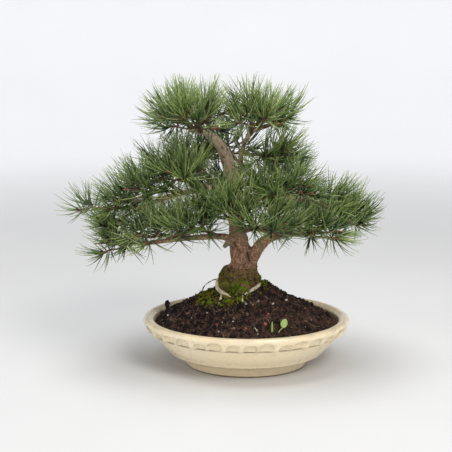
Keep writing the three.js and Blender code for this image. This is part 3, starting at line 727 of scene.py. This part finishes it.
for name, roots, base, stain in (
    ("pale_roots", PALE_ROOTS, ROOT_PALE, ROOT_STAIN),
    ("wiry_root", WIRY_ROOTS, BARK_OLD, BARK_DARK),
):
    skin = Finish(name, base, Roughness=0.75, Specular_IOR_Level=0.3)
    skin.coat(stain, (220, 0.42, 0.68))
    skin.grain(1200, 0.0003, 0.6)
    root = knobbled(limbs(metres(roots), 0.0012), ROOT_KNOBS)
    finish_piece(name, root, skin, "pine_bark", "tree_wood")

# ---- Moss
# Cushions of moss on the trunk's foot and on the damp earth round it: bright and fresh in front,
# olive where it dries. Each little shoot is a rosette of pointed leaves.

MOSS_PATCHES = [  # middle and spread each way, in mm, shoots, their size and how fresh they are
    ((-12, -34, 132), (14, 6, 5.5), 900, 1, 0.8),
    ((4, -33, 134), (7, 6, 4), 220, 1, 0.66),
    ((-44, -36, 118), (12, 9, 6), 1000, 1.5, 0.36),
    ((-60, -14, 116), (8, 13, 5), 700, 1.5, 0.3),
    ((-22, -49, 117), (11, 5, 4), 480, 1.4, 0.34),
    ((28, -4, 135), (5, 9, 4), 420, 1.3, 0.4),
    ((98, 70, 84), (14, 6, 2), 420, 1.4, 0.34),
    ((-20, 42, 128), (28, 12, 8), 900, 1.5, 0.45),
    ((-12, -29, 146), (18, 9, 5), 300, 0.9, 0.22),
    ((-40, -8, 146), (6, 14, 8), 360, 1, 0.24),
    ((-31, -6, 157), (4, 10, 2), 60, 0.9, 0.26),
    ((18, -8, 145), (5, 12, 6), 200, 0.9, 0.24),
    ((-14, 28, 146), (20, 10, 9), 420, 0.9, 0.28),
]
MOSS_LIFT = 0.003  # on earth it grows over the crumbs
MOSS_CUSHION = 150  # cushions in a metre, about
MOSS_BARE = -0.22  # where the cushions' noise is lower than this, none grows
SAME_SPOT = 0.00001
MOSS_LEAVES = 7
MOSS_SIZE = 0.0018


def rosette(draw):
    """A tuft of pointed leaves of about unit height, open to all sides."""
    bm = bmesh.new()
    for number in range(MOSS_LEAVES):
        tilt = Matrix.Rotation(math.radians(draw.uniform(15, 65)), 4, "X")
        round_to = Matrix.Rotation(number * 2.4 + draw.uniform(0, 0.5), 4, "Z")
        lift = Matrix.Translation((0, 0, 0.5))
        bmesh.ops.create_cone(bm, segments=3, radius1=0.24, radius2=0, depth=1, matrix=round_to @ tilt @ lift)
    return shape_of(bm)


def aligned(way):
    """The turn that brings +Z onto the way."""
    return way.to_track_quat("Z", "Y").to_matrix().to_4x4()


def surface_of(piece):
    return bvhtree.BVHTree.FromObject(piece, bpy.context.evaluated_depsgraph_get())


bpy.context.view_layer.update()
trunk_surface = surface_of(wood_piece)
soil_surface = surface_of(bpy.data.objects["soil_mound"])
draw = random.Random(31)
rosettes = [rosette(draw) for _ in range(5)]
bm = bmesh.new()
for middle, spread, shoots, larger, fresh in MOSS_PATCHES:
    middle, spread = metres((middle, spread))
    for _ in range(shoots):
        aim = Vector([draw.gauss(at, wide) for at, wide in zip(middle, spread)])
        on_trunk, on_earth = trunk_surface.find_nearest(aim), soil_surface.find_nearest(aim)
        place, normal = min((on_trunk, on_earth), key=lambda found: found[3])[:2]
        if on_earth[3] < on_trunk[3]:  # on an edge, any of its faces may be the one that was found
            faces = soil_surface.find_nearest_range(place, SAME_SPOT)
            normal = sum((face[1] for face in faces), Vector()).normalized()
        if place.z < soil_height(place.x, place.y) - 0.001 or (place.xy - Vector(TRUNK_FOOT)).length < 0.02:
            continue
        cushion = noise.noise(place * MOSS_CUSHION)
        if cushion < MOSS_BARE:
            continue
        upward = (normal + Vector((0, 0, 0.6))).normalized()
        if on_earth[3] < on_trunk[3]:
            place = place + upward * MOSS_LIFT * min(1, 0.35 + 1.3 * cushion)
        size = MOSS_SIZE * larger * draw.uniform(0.6, 1.3)
        turn = aligned(upward) @ Matrix.Rotation(draw.uniform(0, 6.3), 4, "Z")
        sunk = Matrix.Translation(place - upward * 0.2 * size)
        tint = min(1, max(0, draw.gauss(fresh + 0.5 * cushion, 0.14)))
        stamp(bm, draw.choice(rosettes), sunk @ turn @ Matrix.Scale(size, 4), tint)

MOSS_OLIVE = (0.235, 0.2, 0.018)
MOSS_FRESH = (0.205, 0.36, 0.018)
MOSS_BROWN = (0.06, 0.048, 0.02)
MOSS_SHADE = (0.03, 0.042, 0.006)
moss = Finish("moss", MOSS_OLIVE, Roughness=0.9, Specular_IOR_Level=0.15)
tint = moss.attribute("tint")
moss.coat(MOSS_FRESH, moss.ramp(tint, 0.25, 0.8))
moss.coat(MOSS_BROWN, moss.ramp(tint, 0.25, 0.05))
# Painted shade: dark patches laid at random over the moss, for the shade among its shoots.
moss.coat(MOSS_SHADE, (190, 0.46, 0.6), 0.85)
moss.coat(MOSS_OLIVE, (420, 0.5, 0.7), 0.4)
finish_piece("moss", bm, moss, "seedling_green")

# ---- Dead needles and fibres
# Last year's needles, faded to straw, and fine pale root fibres lie tangled on the earth.

DEAD_NEEDLES = 26
DEAD_NEEDLE_SIZE = (0.03, 0.0004)  # length and radius
FIBRES = 60
FIBRE_SIZE = (0.016, 0.00028)


def lying(draw, length, radius):
    """Stations of a thin thing that lies on the soil in a gentle bend."""
    start, heading, bend = on_soil(draw, 0.9), draw.uniform(0, 2 * math.pi), draw.uniform(-9, 9)
    stations, place = [], start.xy
    for step in range(6):
        lift = draw.uniform(0.0006, 0.003)
        stations.append((place.x, place.y, soil_height(place.x, place.y) + lift, radius * (1 - 0.12 * step)))
        heading += bend * length / 5
        place = place + Vector((math.cos(heading), math.sin(heading))) * length / 5
        if math.hypot(place.x, place.y / OVAL) > LITTER_EDGE * SOIL_RADIUS:
            break
    return stations


draw = random.Random(41)
length, radius = DEAD_NEEDLE_SIZE
fallen = [lying(draw, length * draw.uniform(0.4, 1.1), radius) for _ in range(DEAD_NEEDLES)]
length, radius = FIBRE_SIZE
fibres = [lying(draw, length * draw.uniform(0.5, 1.4), radius) for _ in range(FIBRES)]
STRAW_PALE = (0.33, 0.245, 0.15)
STRAW_BROWN = (0.085, 0.05, 0.028)
straw = Finish("straw", STRAW_BROWN, Roughness=0.6)
straw.coat(STRAW_PALE, (55, 0.36, 0.62))
straw.grain(1500, 0.0002, 0.5)
litter_lines = [stations for stations in fallen + fibres if len(stations) > 2]
finish_piece("needle_litter", limbs(litter_lines, 0.003, sides=1), straw, "dry_straw")

# ---- Bark chip
# A chip of pine bark that stands up at the left end of the soil, dark and damp, split off along the
# grain with a ragged top.

CHIP_OUTLINE = metres([(-5, -5), (4, -5), (3, 6), (5.5, 12), (1.5, 17.5), (-4.5, 15), (-3.2, 4)])
CHIP_THICK = 0.0026
CHIP_PLACE = (-0.127, 0.012)
CHIP_TURN, CHIP_TILT = 0.35, 0.25
CHIP_BLACK = (0.014, 0.012, 0.011)


def standing(bm, place, turn, tilt, lean=0.0):
    """Leans the shape to one side, tilts it back, turns it about Z and puts its foot on the place."""
    leant = Matrix.Rotation(-tilt, 4, "X") @ Matrix.Rotation(lean, 4, "Y")
    bm.transform(Matrix.Translation(place) @ Matrix.Rotation(turn, 4, "Z") @ leant)


bm = bmesh.new()
face = bm.faces.new([bm.verts.new((across, CHIP_THICK / 2, up)) for across, up in CHIP_OUTLINE])
sides = bmesh.ops.extrude_face_region(bm, geom=[face])["geom"]
corners = [part for part in sides if isinstance(part, bmesh.types.BMVert)]
bmesh.ops.translate(bm, verts=corners, vec=(0, -CHIP_THICK, 0))
bmesh.ops.recalc_face_normals(bm, faces=bm.faces)
bmesh.ops.triangulate(bm, faces=bm.faces)
bmesh.ops.subdivide_edges(bm, edges=bm.edges, cuts=3, use_grid_fill=True)
standing(bm, (*CHIP_PLACE, mound(*CHIP_PLACE)), CHIP_TURN, CHIP_TILT)
bmesh.ops.smooth_vert(bm, verts=bm.verts, factor=0.5, use_axis_x=True, use_axis_y=True, use_axis_z=True)
for vert in bm.verts:
    vert.co += noise.noise_vector(vert.co * 260) * 0.0011 + noise.noise_vector(vert.co * 800) * 0.0004
chip = Finish("chip_bark", CHIP_BLACK, Roughness=0.9, Specular_IOR_Level=0.3)
chip.coat(BARK_OLD, (300, 0.5, 0.8))
chip.grain(700, 0.0006, 0.8)
finish_piece("chip", bm, chip, "bark_litter", "bark_chip")

# ---- Seedlings
# Two weeds in the front of the mound: one round leaf with a midrib on a thin stem, and one narrow
# blade, folded along its middle.

LEAF_STEM = [(0.05, -0.094), (0.006, 0), 0.007, 0.0009]  # foot, lean of the top, rise and radius
LEAF_SIZE = (0.0106, 0.0142)
LEAF_TURN, LEAF_TILT, LEAF_LEAN = 0.2, 0.3, 0.3
LEAF_GREENS = ((0.5, 0.58, 0.22), (0.3, 0.43, 0.11), (0.4, 0.54, 0.17))  # rib and two of the blade
BLADE_PLACE = (0.04, -0.1)
BLADE_SIZE = (0.0036, 0.024)
BLADE_TURN, BLADE_TILT = 0.5, 0.1
BLADE_GREENS = ((0.42, 0.56, 0.17), (0.18, 0.33, 0.06), (0.26, 0.43, 0.09))
STEM_BELOW, BLADE_BELOW = 0.006, 0.005  # the parts in the earth


def leaf(size, widest, fold, curl, thick):
    """A thin leaf that stands up from its foot at the origin, folded along its rib and curled back."""
    width, length = size
    bm = bmesh.new()
    across = bm.verts.layers.float.new("across")
    bmesh.ops.create_grid(bm, x_segments=10, y_segments=16, size=1)
    for vert in bm.verts:
        side, along = vert.co.x, 0.5 + 0.5 * vert.co.y
        vert[across] = abs(side)
        full = math.sin(math.pi * along**widest) ** 0.62 if 0 < along < 1 else 0
        x = 0.5 * width * side * max(0.03, full)
        vert.co = Vector((x, fold * abs(x) - curl * along**2, along * length))
    bmesh.ops.remove_doubles(bm, verts=bm.verts, dist=1e-6)
    bmesh.ops.recalc_face_normals(bm, faces=bm.faces)
    bmesh.ops.solidify(bm, geom=bm.faces, thickness=thick)
    return bm


def leaf_finish(name, rib, low, high):
    made = Finish(name, low, Roughness=0.42)
    made.coat(high, (240, 0.35, 0.7))
    made.coat(rib, made.ramp(made.attribute("across"), 0.16, 0.04))
    inputs = {"Vector": made.here(), "Scale": 260.0, "Distortion": 2.0}
    veins = add(made.tree, "TexWave", {"bands_direction": "Z"}, inputs)
    made.bump(veins.outputs["Fac"], 0.0003, 0.5)
    return made


place, lean, rise, radius = LEAF_STEM
ground = mound(*place)
top = Vector((place[0] + lean[0], place[1] + lean[1], ground + rise))
stem = [(*place, ground - STEM_BELOW, radius), (*place, ground, radius), (*top, 0.7 * radius)]
bm = leaf(LEAF_SIZE, 0.9, 0.25, 0.002, 0.0005)
standing(bm, top - Vector((0, 0, 0.001)), LEAF_TURN, LEAF_TILT, LEAF_LEAN)
bm.from_mesh(limbs([stem], 0.001, 2))
leaf_green = leaf_finish("seedling_leaf_green", *LEAF_GREENS)
finish_piece("leaf_round", bm, leaf_green, "seedling_green", "seedling_leaf")

bm = leaf(BLADE_SIZE, 0.8, 0.5, 0.001, 0.0006)
standing(bm, (*BLADE_PLACE, mound(*BLADE_PLACE) - BLADE_BELOW), BLADE_TURN, BLADE_TILT)
blade = leaf_finish("seedling_blade_green", *BLADE_GREENS)
finish_piece("leaf_blade", bm, blade, "seedling_green", "seedling_blade")

# ---- Dry sprig
# A bleached grass stalk that stands in the earth at the front, with a broken leaf sheath.

SPRIG_FOOT = (0.018, -0.105)
SPRIG_STALK = [(0, 0, -6, 0.8), (0, 0, 0, 0.8), (-2, 0.8, 6, 0.7), (-5, 2, 10, 0.4)]  # from its foot, in mm
SPRIG_SHEATH = [(-2, 0.8, 6, 0.6), (-1, -1, 8, 0.3)]
SPRIG_GREY = (0.52, 0.56, 0.38)
SPRIG_WHITE = (0.76, 0.76, 0.64)

foot = Vector((*SPRIG_FOOT, mound(*SPRIG_FOOT), 0))
sprig = [[foot + Vector(station) for station in line] for line in metres([SPRIG_STALK, SPRIG_SHEATH])]
stalk = Finish("bleached_stalk", SPRIG_GREY, Roughness=0.6)
stalk.coat(SPRIG_WHITE, (200, 0.4, 0.66))
stalk.grain(1500, 0.0002, 0.5)
finish_piece("sprig", limbs(sprig, 0.001, 2), stalk, "dry_straw", "dry_sprig")

# ---- Needle sprays
# Each spray is a small branchlet that forks into shoots. A shoot is a brush of curved needles, borne
# in pairs from a papery brown sheath, wide open at its foot and close at its resinous bud.

PADS = {  # branch that bears it, how far along, middle and spread each way of its feet, in mm, and brushes
    "crown_west": ("crown_west", 0.7, (-108, -6, 398), (22, 28, 8), 8),
    "crown_front_west": ("crown_west", 0.3, (-80, -44, 389), (28, 22, 10), 8),
    "crown_back_west": ("crown_west", 0.2, (-86, 44, 400), (30, 24, 10), 8),
    "crown_top": ("trunk", 0.97, (-64, 0, 401), (24, 22, 5), 4),
    "crown_front": ("crown_east", 0.3, (14, -44, 394), (26, 22, 10), 6),
    "crown_back": ("crown_east", 0.3, (12, 48, 401), (28, 24, 10), 6),
    "crown_east": ("crown_east", 0.8, (27, -8, 398), (22, 28, 8), 7),
    "crown_tip": ("crown_east", 1, (57, 6, 391), (8, 12, 4), 3),
    "west_upper": ("west_mid", 0.45, (-120, -4, 318), (28, 32, 10), 6),
    "west_front": ("west_mid", 0.6, (-147, -58, 292), (30, 26, 10), 7),
    "west_back": ("west_mid", 0.6, (-143, 62, 292), (32, 28, 10), 8),
    "west_far": ("west_mid", 0.85, (-188, -10, 265), (22, 36, 10), 8),
    "west_tip": ("west_mid", 1, (-243, -12, 253), (8, 14, 5), 3),
    "west_end": ("west_mid", 1, (-206, -18, 231), (14, 26, 6), 5),
    "west_low": ("west_low", 1, (-199, -34, 203), (24, 34, 8), 6),
    "west_low_front": ("west_low", 0.6, (-138, -78, 226), (32, 24, 10), 8),
    "west_low_back": ("west_low", 0.6, (-140, 58, 220), (36, 28, 10), 8),
    "west_inner": ("west_low", 0.3, (-78, -92, 241), (30, 24, 12), 9),
    "west_inner_up": ("west_mid", 0.35, (-96, -62, 314), (26, 22, 10), 8),
    "west_inner_back": ("west_mid", 0.25, (-86, 78, 322), (30, 26, 10), 9),
    "west_core": ("west_mid", 0.2, (-54, -64, 276), (24, 20, 10), 8),
    "east_upper": ("second_stem", 0.7, (41, -4, 335), (26, 30, 10), 11),
    "east_front": ("east_mid", 0.4, (62, -62, 291), (30, 26, 10), 9),
    "east_back": ("east_mid", 0.5, (59, 66, 293), (32, 28, 10), 8),
    "east_far": ("east_mid", 0.9, (127, -4, 262), (24, 36, 10), 8),
    "east_tip": ("east_low", 0.9, (162, 2, 236), (16, 34, 8), 10),
    "east_low_front": ("east_low", 0.6, (102, -72, 231), (34, 24, 10), 11),
    "east_low_back": ("east_low", 0.6, (98, 66, 226), (34, 28, 10), 8),
    "inner_east": ("east_mid", 0.2, (18, -52, 287), (26, 22, 10), 8),
    "front_mid": ("front", 0.6, (-24, -82, 260), (28, 20, 10), 9),
    "front_low": ("front", 1, (28, -100, 243), (36, 18, 12), 9),
    "back_up": ("second_stem", 0.5, (-30, 88, 336), (32, 26, 10), 8),
    "back_mid": ("back", 1, (-36, 112, 272), (36, 22, 10), 9),
    "back_low": ("back", 0.9, (34, 106, 240), (32, 24, 10), 9),
}
BOX_SPARE = 0.004  # how far a needle tip may stand out of the frame's box before it is bent back
BENT_BACK = 0.8  # share of what is past that
GOLDEN = math.pi * (3 - math.sqrt(5))
HUB_DEPTH = 0.45
SHORTEST_BRANCHLET = 0.012
STALK_LENGTH = 0.006
SHOOT_LENGTH = 0.018
PAD_TURN = 1.7
DOME_TOP, DOME_FALL = 0.6, 1.2
LOW_PAD, CROWN_PAD = 0.234, 0.375  # pads below and above these levels droop at their edges
DROOP = 0.14
LEAST_LIFT, MORE_LIFT = 0.04, 0.4  # how far a brush turns upward, at the pad's edge and more at its middle
TIP_LIFT = 0.008  # needles curl up towards the light
NEEDLE_LENGTH = 0.041
NEEDLE_RADIUS = 0.00086
NEEDLE_PAIRS = (20, 16, 18, 11, 17, 13, 19, 15)  # of each brush shape
STRAY = 0.38
LEAST_STRAY = -0.08  # so that no brush hangs straight down
WIDEST_SPLAY, CLOSEST_SPLAY = 104, 14  # degrees, at the foot and at the tip of a shoot


def pad_frame(on, at, centre, spread):
    """The pad's root on its branch, the end of its branchlet and the knot that its shoots fan from."""
    stations = TRUNK if on == "trunk" else metres(BRANCHES[on])
    root = on_line(stations, at * (len(stations) - 1)).to_3d()
    way = centre - root
    aim = way.normalized()
    hub = centre - aim * min(HUB_DEPTH * (spread[0] + spread[1]), way.length - SHORTEST_BRANCHLET)
    return root, hub, hub + aim * STALK_LENGTH


def needle(draw):
    """One needle along +Z from the origin: three-sided, blunt at its foot and pointed, gently bent."""
    length = NEEDLE_LENGTH * draw.uniform(0.78, 1.12)
    bend = Vector((draw.gauss(0, 0.004), draw.uniform(-0.004, 0.018)))
    bm = bmesh.new()
    along, own = bm.verts.layers.float.new("along"), bm.verts.layers.float.new("own")
    bmesh.ops.create_cone(
        bm, cap_ends=True, segments=3, radius1=NEEDLE_RADIUS, radius2=0.25 * NEEDLE_RADIUS, depth=length,
        matrix=Matrix.Translation((0, 0, length / 2)),
    )
    upright = [edge for edge in bm.edges if abs(edge.verts[0].co.z - edge.verts[1].co.z) > length / 2]
    bmesh.ops.subdivide_edges(bm, edges=upright, cuts=3)
    shade = draw.random()
    for vert in bm.verts:
        share = vert.co.z / length
        vert[along], vert[own] = share, shade
        vert.co.xy *= 1 + 1.2 * share * (1 - share)
        vert.co.xy -= bend * share**2
    return bm


def brush(draw, pairs):
    """A shoot along +Z from the origin, with its needles in pairs."""
    bm = bmesh.new()
    for number in range(pairs):
        share = (number + 0.5) / pairs
        opening = WIDEST_SPLAY + (CLOSEST_SPLAY - WIDEST_SPLAY) * share**0.8
        splay = math.radians(opening + draw.uniform(-16, 16))
        turn = Matrix.Rotation(number * GOLDEN + draw.uniform(-0.6, 0.6), 4, "Z")
        root = Matrix.Translation((0, 0, SHOOT_LENGTH * (1.15 * share - 0.17)))
        for apart in (-1, 1):
            single = needle(draw)
            parted = Matrix.Rotation(math.radians(apart * draw.uniform(2, 7)), 4, "Y")
            single.transform(root @ turn @ Matrix.Rotation(-splay, 4, "X") @ parted)
            mesh = mesh_of(single)
            bm.from_mesh(mesh)
            bpy.data.meshes.remove(mesh)
    return shape_of(bm)


draw = random.Random(51)
brushes = [brush(draw, pairs) for pairs in NEEDLE_PAIRS]

NEEDLE_SHADE = (0.006, 0.012, 0.005)
NEEDLE_DARK = (0.022, 0.042, 0.016)
NEEDLE_GREEN = (0.092, 0.168, 0.038)
NEEDLE_FRESH = (0.36, 0.43, 0.13)
NEEDLE_SHEATH = (0.13, 0.075, 0.04)
green = Finish("needle_green", NEEDLE_DARK, Roughness=0.42, Specular_IOR_Level=0.5)
along, tint, own = (green.attribute(name) for name in ("along", "tint", "own"))
shade = green.figure("ADD", green.product(tint, 0.45), green.product(own, 0.55))
green.coat(NEEDLE_GREEN, green.ramp(shade, 0.1, 0.55))
green.coat(NEEDLE_FRESH, green.ramp(shade, 0.5, 1.0))
green.coat(NEEDLE_FRESH, green.ramp(along, 0.5, 1.0), 0.35)
# Painted shade: every needle is darkened towards its foot, for the shade deep inside the pad.
green.coat(NEEDLE_SHADE, green.ramp(along, 0.55, 0.0), 0.68)
green.coat(NEEDLE_SHEATH, green.ramp(along, 0.09, 0.04))
green.dulled(200, 0.28, 0.48)


twig_lines, buds = [], []
for number, (name, (on, at, middle, spread, brush_count)) in enumerate(PADS.items()):
    draw = random.Random(100 + number)
    centre, (wide, deep, tall) = Vector(metres(middle)), metres(spread)
    root, hub, knot = pad_frame(on, at, centre, (wide, deep))
    twig_lines.append([(*root, 0.0034), (*root.lerp(hub, 0.5), 0.003), (*hub, 0.0026), (*knot, 0.0024)])
    bm = bmesh.new()
    for k in range(brush_count):
        turn, out = k * GOLDEN + number * PAD_TURN, math.sqrt((k + 0.6) / brush_count)
        rise = tall * (DOME_TOP - DOME_FALL * out * out)
        foot = centre + Vector((wide * out * math.cos(turn), deep * out * math.sin(turn), rise))
        lean = (foot - knot).normalized()
        tip = foot + lean * SHOOT_LENGTH
        bowed = knot.lerp(foot, 0.5) - Vector((0, 0, 0.003))
        twig_lines.append([(*knot, 0.0019), (*bowed, 0.0015), (*foot, 0.0014), (*tip, 0.001)])
        buds.append((tip, lean))
        strayed = Vector([draw.gauss(0, STRAY) for _ in range(3)])
        strayed.z = max(strayed.z, LEAST_STRAY)
        droop = 0 if LOW_PAD < centre.z < CROWN_PAD else DROOP * out * out
        aim = (lean + Vector((0, 0, LEAST_LIFT + MORE_LIFT * (1 - out) - droop)) + strayed).normalized()
        spin = Matrix.Rotation(draw.uniform(0, 6.3), 4, "Z")
        stamp(bm, draw.choice(brushes), Matrix.Translation(foot) @ aligned(aim) @ spin, draw.random())
    along = bm.verts.layers.float["along"]
    for vert in bm.verts:
        vert.co.z += TIP_LIFT * vert[along] ** 2
        for axis in range(3):
            past = max(vert.co[axis] - cad_box[1][axis], cad_box[0][axis] - vert.co[axis]) - BOX_SPARE
            middle = 0.2 if axis == 2 else 0
            vert.co[axis] -= math.copysign(max(0, past) * BENT_BACK, vert.co[axis] - middle)
    finish_piece("spray_" + name, bm, green, "pine_needles", "needles_" + name)

TWIG_GREY = (0.12, 0.088, 0.06)
TWIG_BROWN = (0.17, 0.085, 0.048)
twig = Finish("twig_bark", TWIG_GREY, Roughness=0.8, Specular_IOR_Level=0.3)
twig.coat(TWIG_BROWN, (130, 0.4, 0.66))
twig.grain(1100, 0.0004, 0.7)
finish_piece("twigs", limbs(twig_lines, 0.008, 1), twig, "pine_bark", "tree_wood")

# ---- Buds and dry cones
# Each brush ends in a resinous red-brown bud, and some bear last year's dry pollen cones, a knot of
# small brown scales round the shoot.

BUD_RADIUS, BUD_LENGTH = 0.0013, 0.006
CONE_SHARE = 0.12  # of the shoots bear dry cones
CONE_SCALES = 14
CONE_RADIUS = 0.0023
CONE_FOOT, CONE_STEP = 0.002, 0.0009  # where its scales start on the shoot, and how far apart
SCALE_SIZE = (0.0012, 0.0012, 0.0021)

bm = bmesh.new()
bmesh.ops.create_cone(bm, cap_ends=True, segments=6, radius1=BUD_RADIUS, radius2=0.0002, depth=BUD_LENGTH,
                      matrix=Matrix.Translation((0, 0, BUD_LENGTH / 2)))
bud = shape_of(bm)
draw = random.Random(61)
scales = [lump(draw, 0.2) for _ in range(4)]
bm = bmesh.new()
for tip, lean in buds:
    facing = aligned(lean)
    stamp(bm, bud, Matrix.Translation(tip - lean * 0.001) @ facing, draw.random())
    if draw.random() < CONE_SHARE:
        for number in range(CONE_SCALES):
            out = Vector((math.cos(number * GOLDEN), math.sin(number * GOLDEN), 0)) * CONE_RADIUS
            spot = tip - lean * (SHOOT_LENGTH - CONE_FOOT - CONE_STEP * number) + facing.to_3x3() @ out
            stretch = Matrix.Diagonal((*SCALE_SIZE, 1))
            stamp(bm, draw.choice(scales), Matrix.Translation(spot) @ facing @ stretch, draw.random())
BUD_BROWN = (0.135, 0.048, 0.022)
BUD_RED = (0.33, 0.105, 0.045)
scale = Finish("bud_scale", BUD_BROWN, Roughness=0.6)
scale.coat(BUD_RED, scale.attribute("tint"))
scale.coat(BARK_FLAKE, (900, 0.45, 0.7), 0.6)
finish_piece("buds_and_cones", bm, scale, "pine_bark")

# ---- Floor, light and camera
# A plain pale floor under soft studio light, seen from a little above the lip and from the front.

CAMERA_PLACE = (0, -1.5, 0.525)
CAMERA_TURN = (78.64, 0, 1.23)  # degrees: tipped down 11.36 and panned a little to the left
CAMERA_LENS = 77.18  # mm, on a sensor 36 mm wide
FLOOR_COLOR = (0.6, 0.6, 0.6)
COVE_START = 2.6  # the floor sweeps up all round from here to a low wall
COVE_BEND = [(2.7, 0.004), (3.1, 0.08), (3.5, 0.35), (3.75, 0.8)]
COVE_TOP = (3.8, 1.3)
COVE_GLOW = 0.5  # the walls are lit, so that they stay pale behind the tree
SKY_COLOR = (0.95, 0.96, 1.0)
SKY_STRENGTH = 0.34

camera = loose("camera", bpy.data.cameras.new("camera"))
camera.location = CAMERA_PLACE
camera.rotation_euler = [math.radians(angle) for angle in CAMERA_TURN]
camera.data.lens, camera.data.sensor_width = CAMERA_LENS, 36
bpy.context.scene.camera = camera


def soft_light(name, place, size, power, color=(1, 1, 1)):
    """A square soft box that faces the middle of the tree."""
    light = bpy.data.lights.new(name, "AREA")
    light.shape, light.size, light.energy, light.color = "SQUARE", size, power, color
    lamp = loose(name, light)
    lamp.location = place
    lamp.rotation_euler = (Vector((0, 0, 0.2)) - lamp.location).to_track_quat("-Z", "Y").to_euler()


soft_light("window_light", (0.9, -1.5, 1.9), 1.0, 34, (1, 0.98, 0.94))
soft_light("ceiling_light", (-0.2, -0.1, 2.2), 1.3, 40)
soft_light("fill_light", (-1.9, -0.8, 0.9), 1.2, 5, (0.95, 0.97, 1))
world = bpy.data.worlds.new("pale_room")
world.use_nodes = True
sky = world.node_tree.nodes["Background"].inputs
sky["Color"].default_value, sky["Strength"].default_value = (*SKY_COLOR, 1), SKY_STRENGTH
bpy.context.scene.world = world
bpy.context.scene.view_settings.view_transform = "Standard"

shape = turned([(0, 0), (COVE_START, 0), *smooth_line(COVE_BEND, 0.1), COVE_TOP], 96)
floor = loose("floor", mesh_of(shape))
floor.data.shade_smooth()
pale = Finish("pale_floor", FLOOR_COLOR, Roughness=0.8, Emission_Color=SKY_COLOR)
pale.coat(tuple(0.97 * share for share in FLOOR_COLOR), (3, 0.3, 0.7))
glow = pale.product(pale.near((0, 0, 0), 0.7, 2.9), COVE_GLOW)
feed(pale.tree, pale.shader["Emission Strength"], glow)
floor.data.materials.append(pale.material)
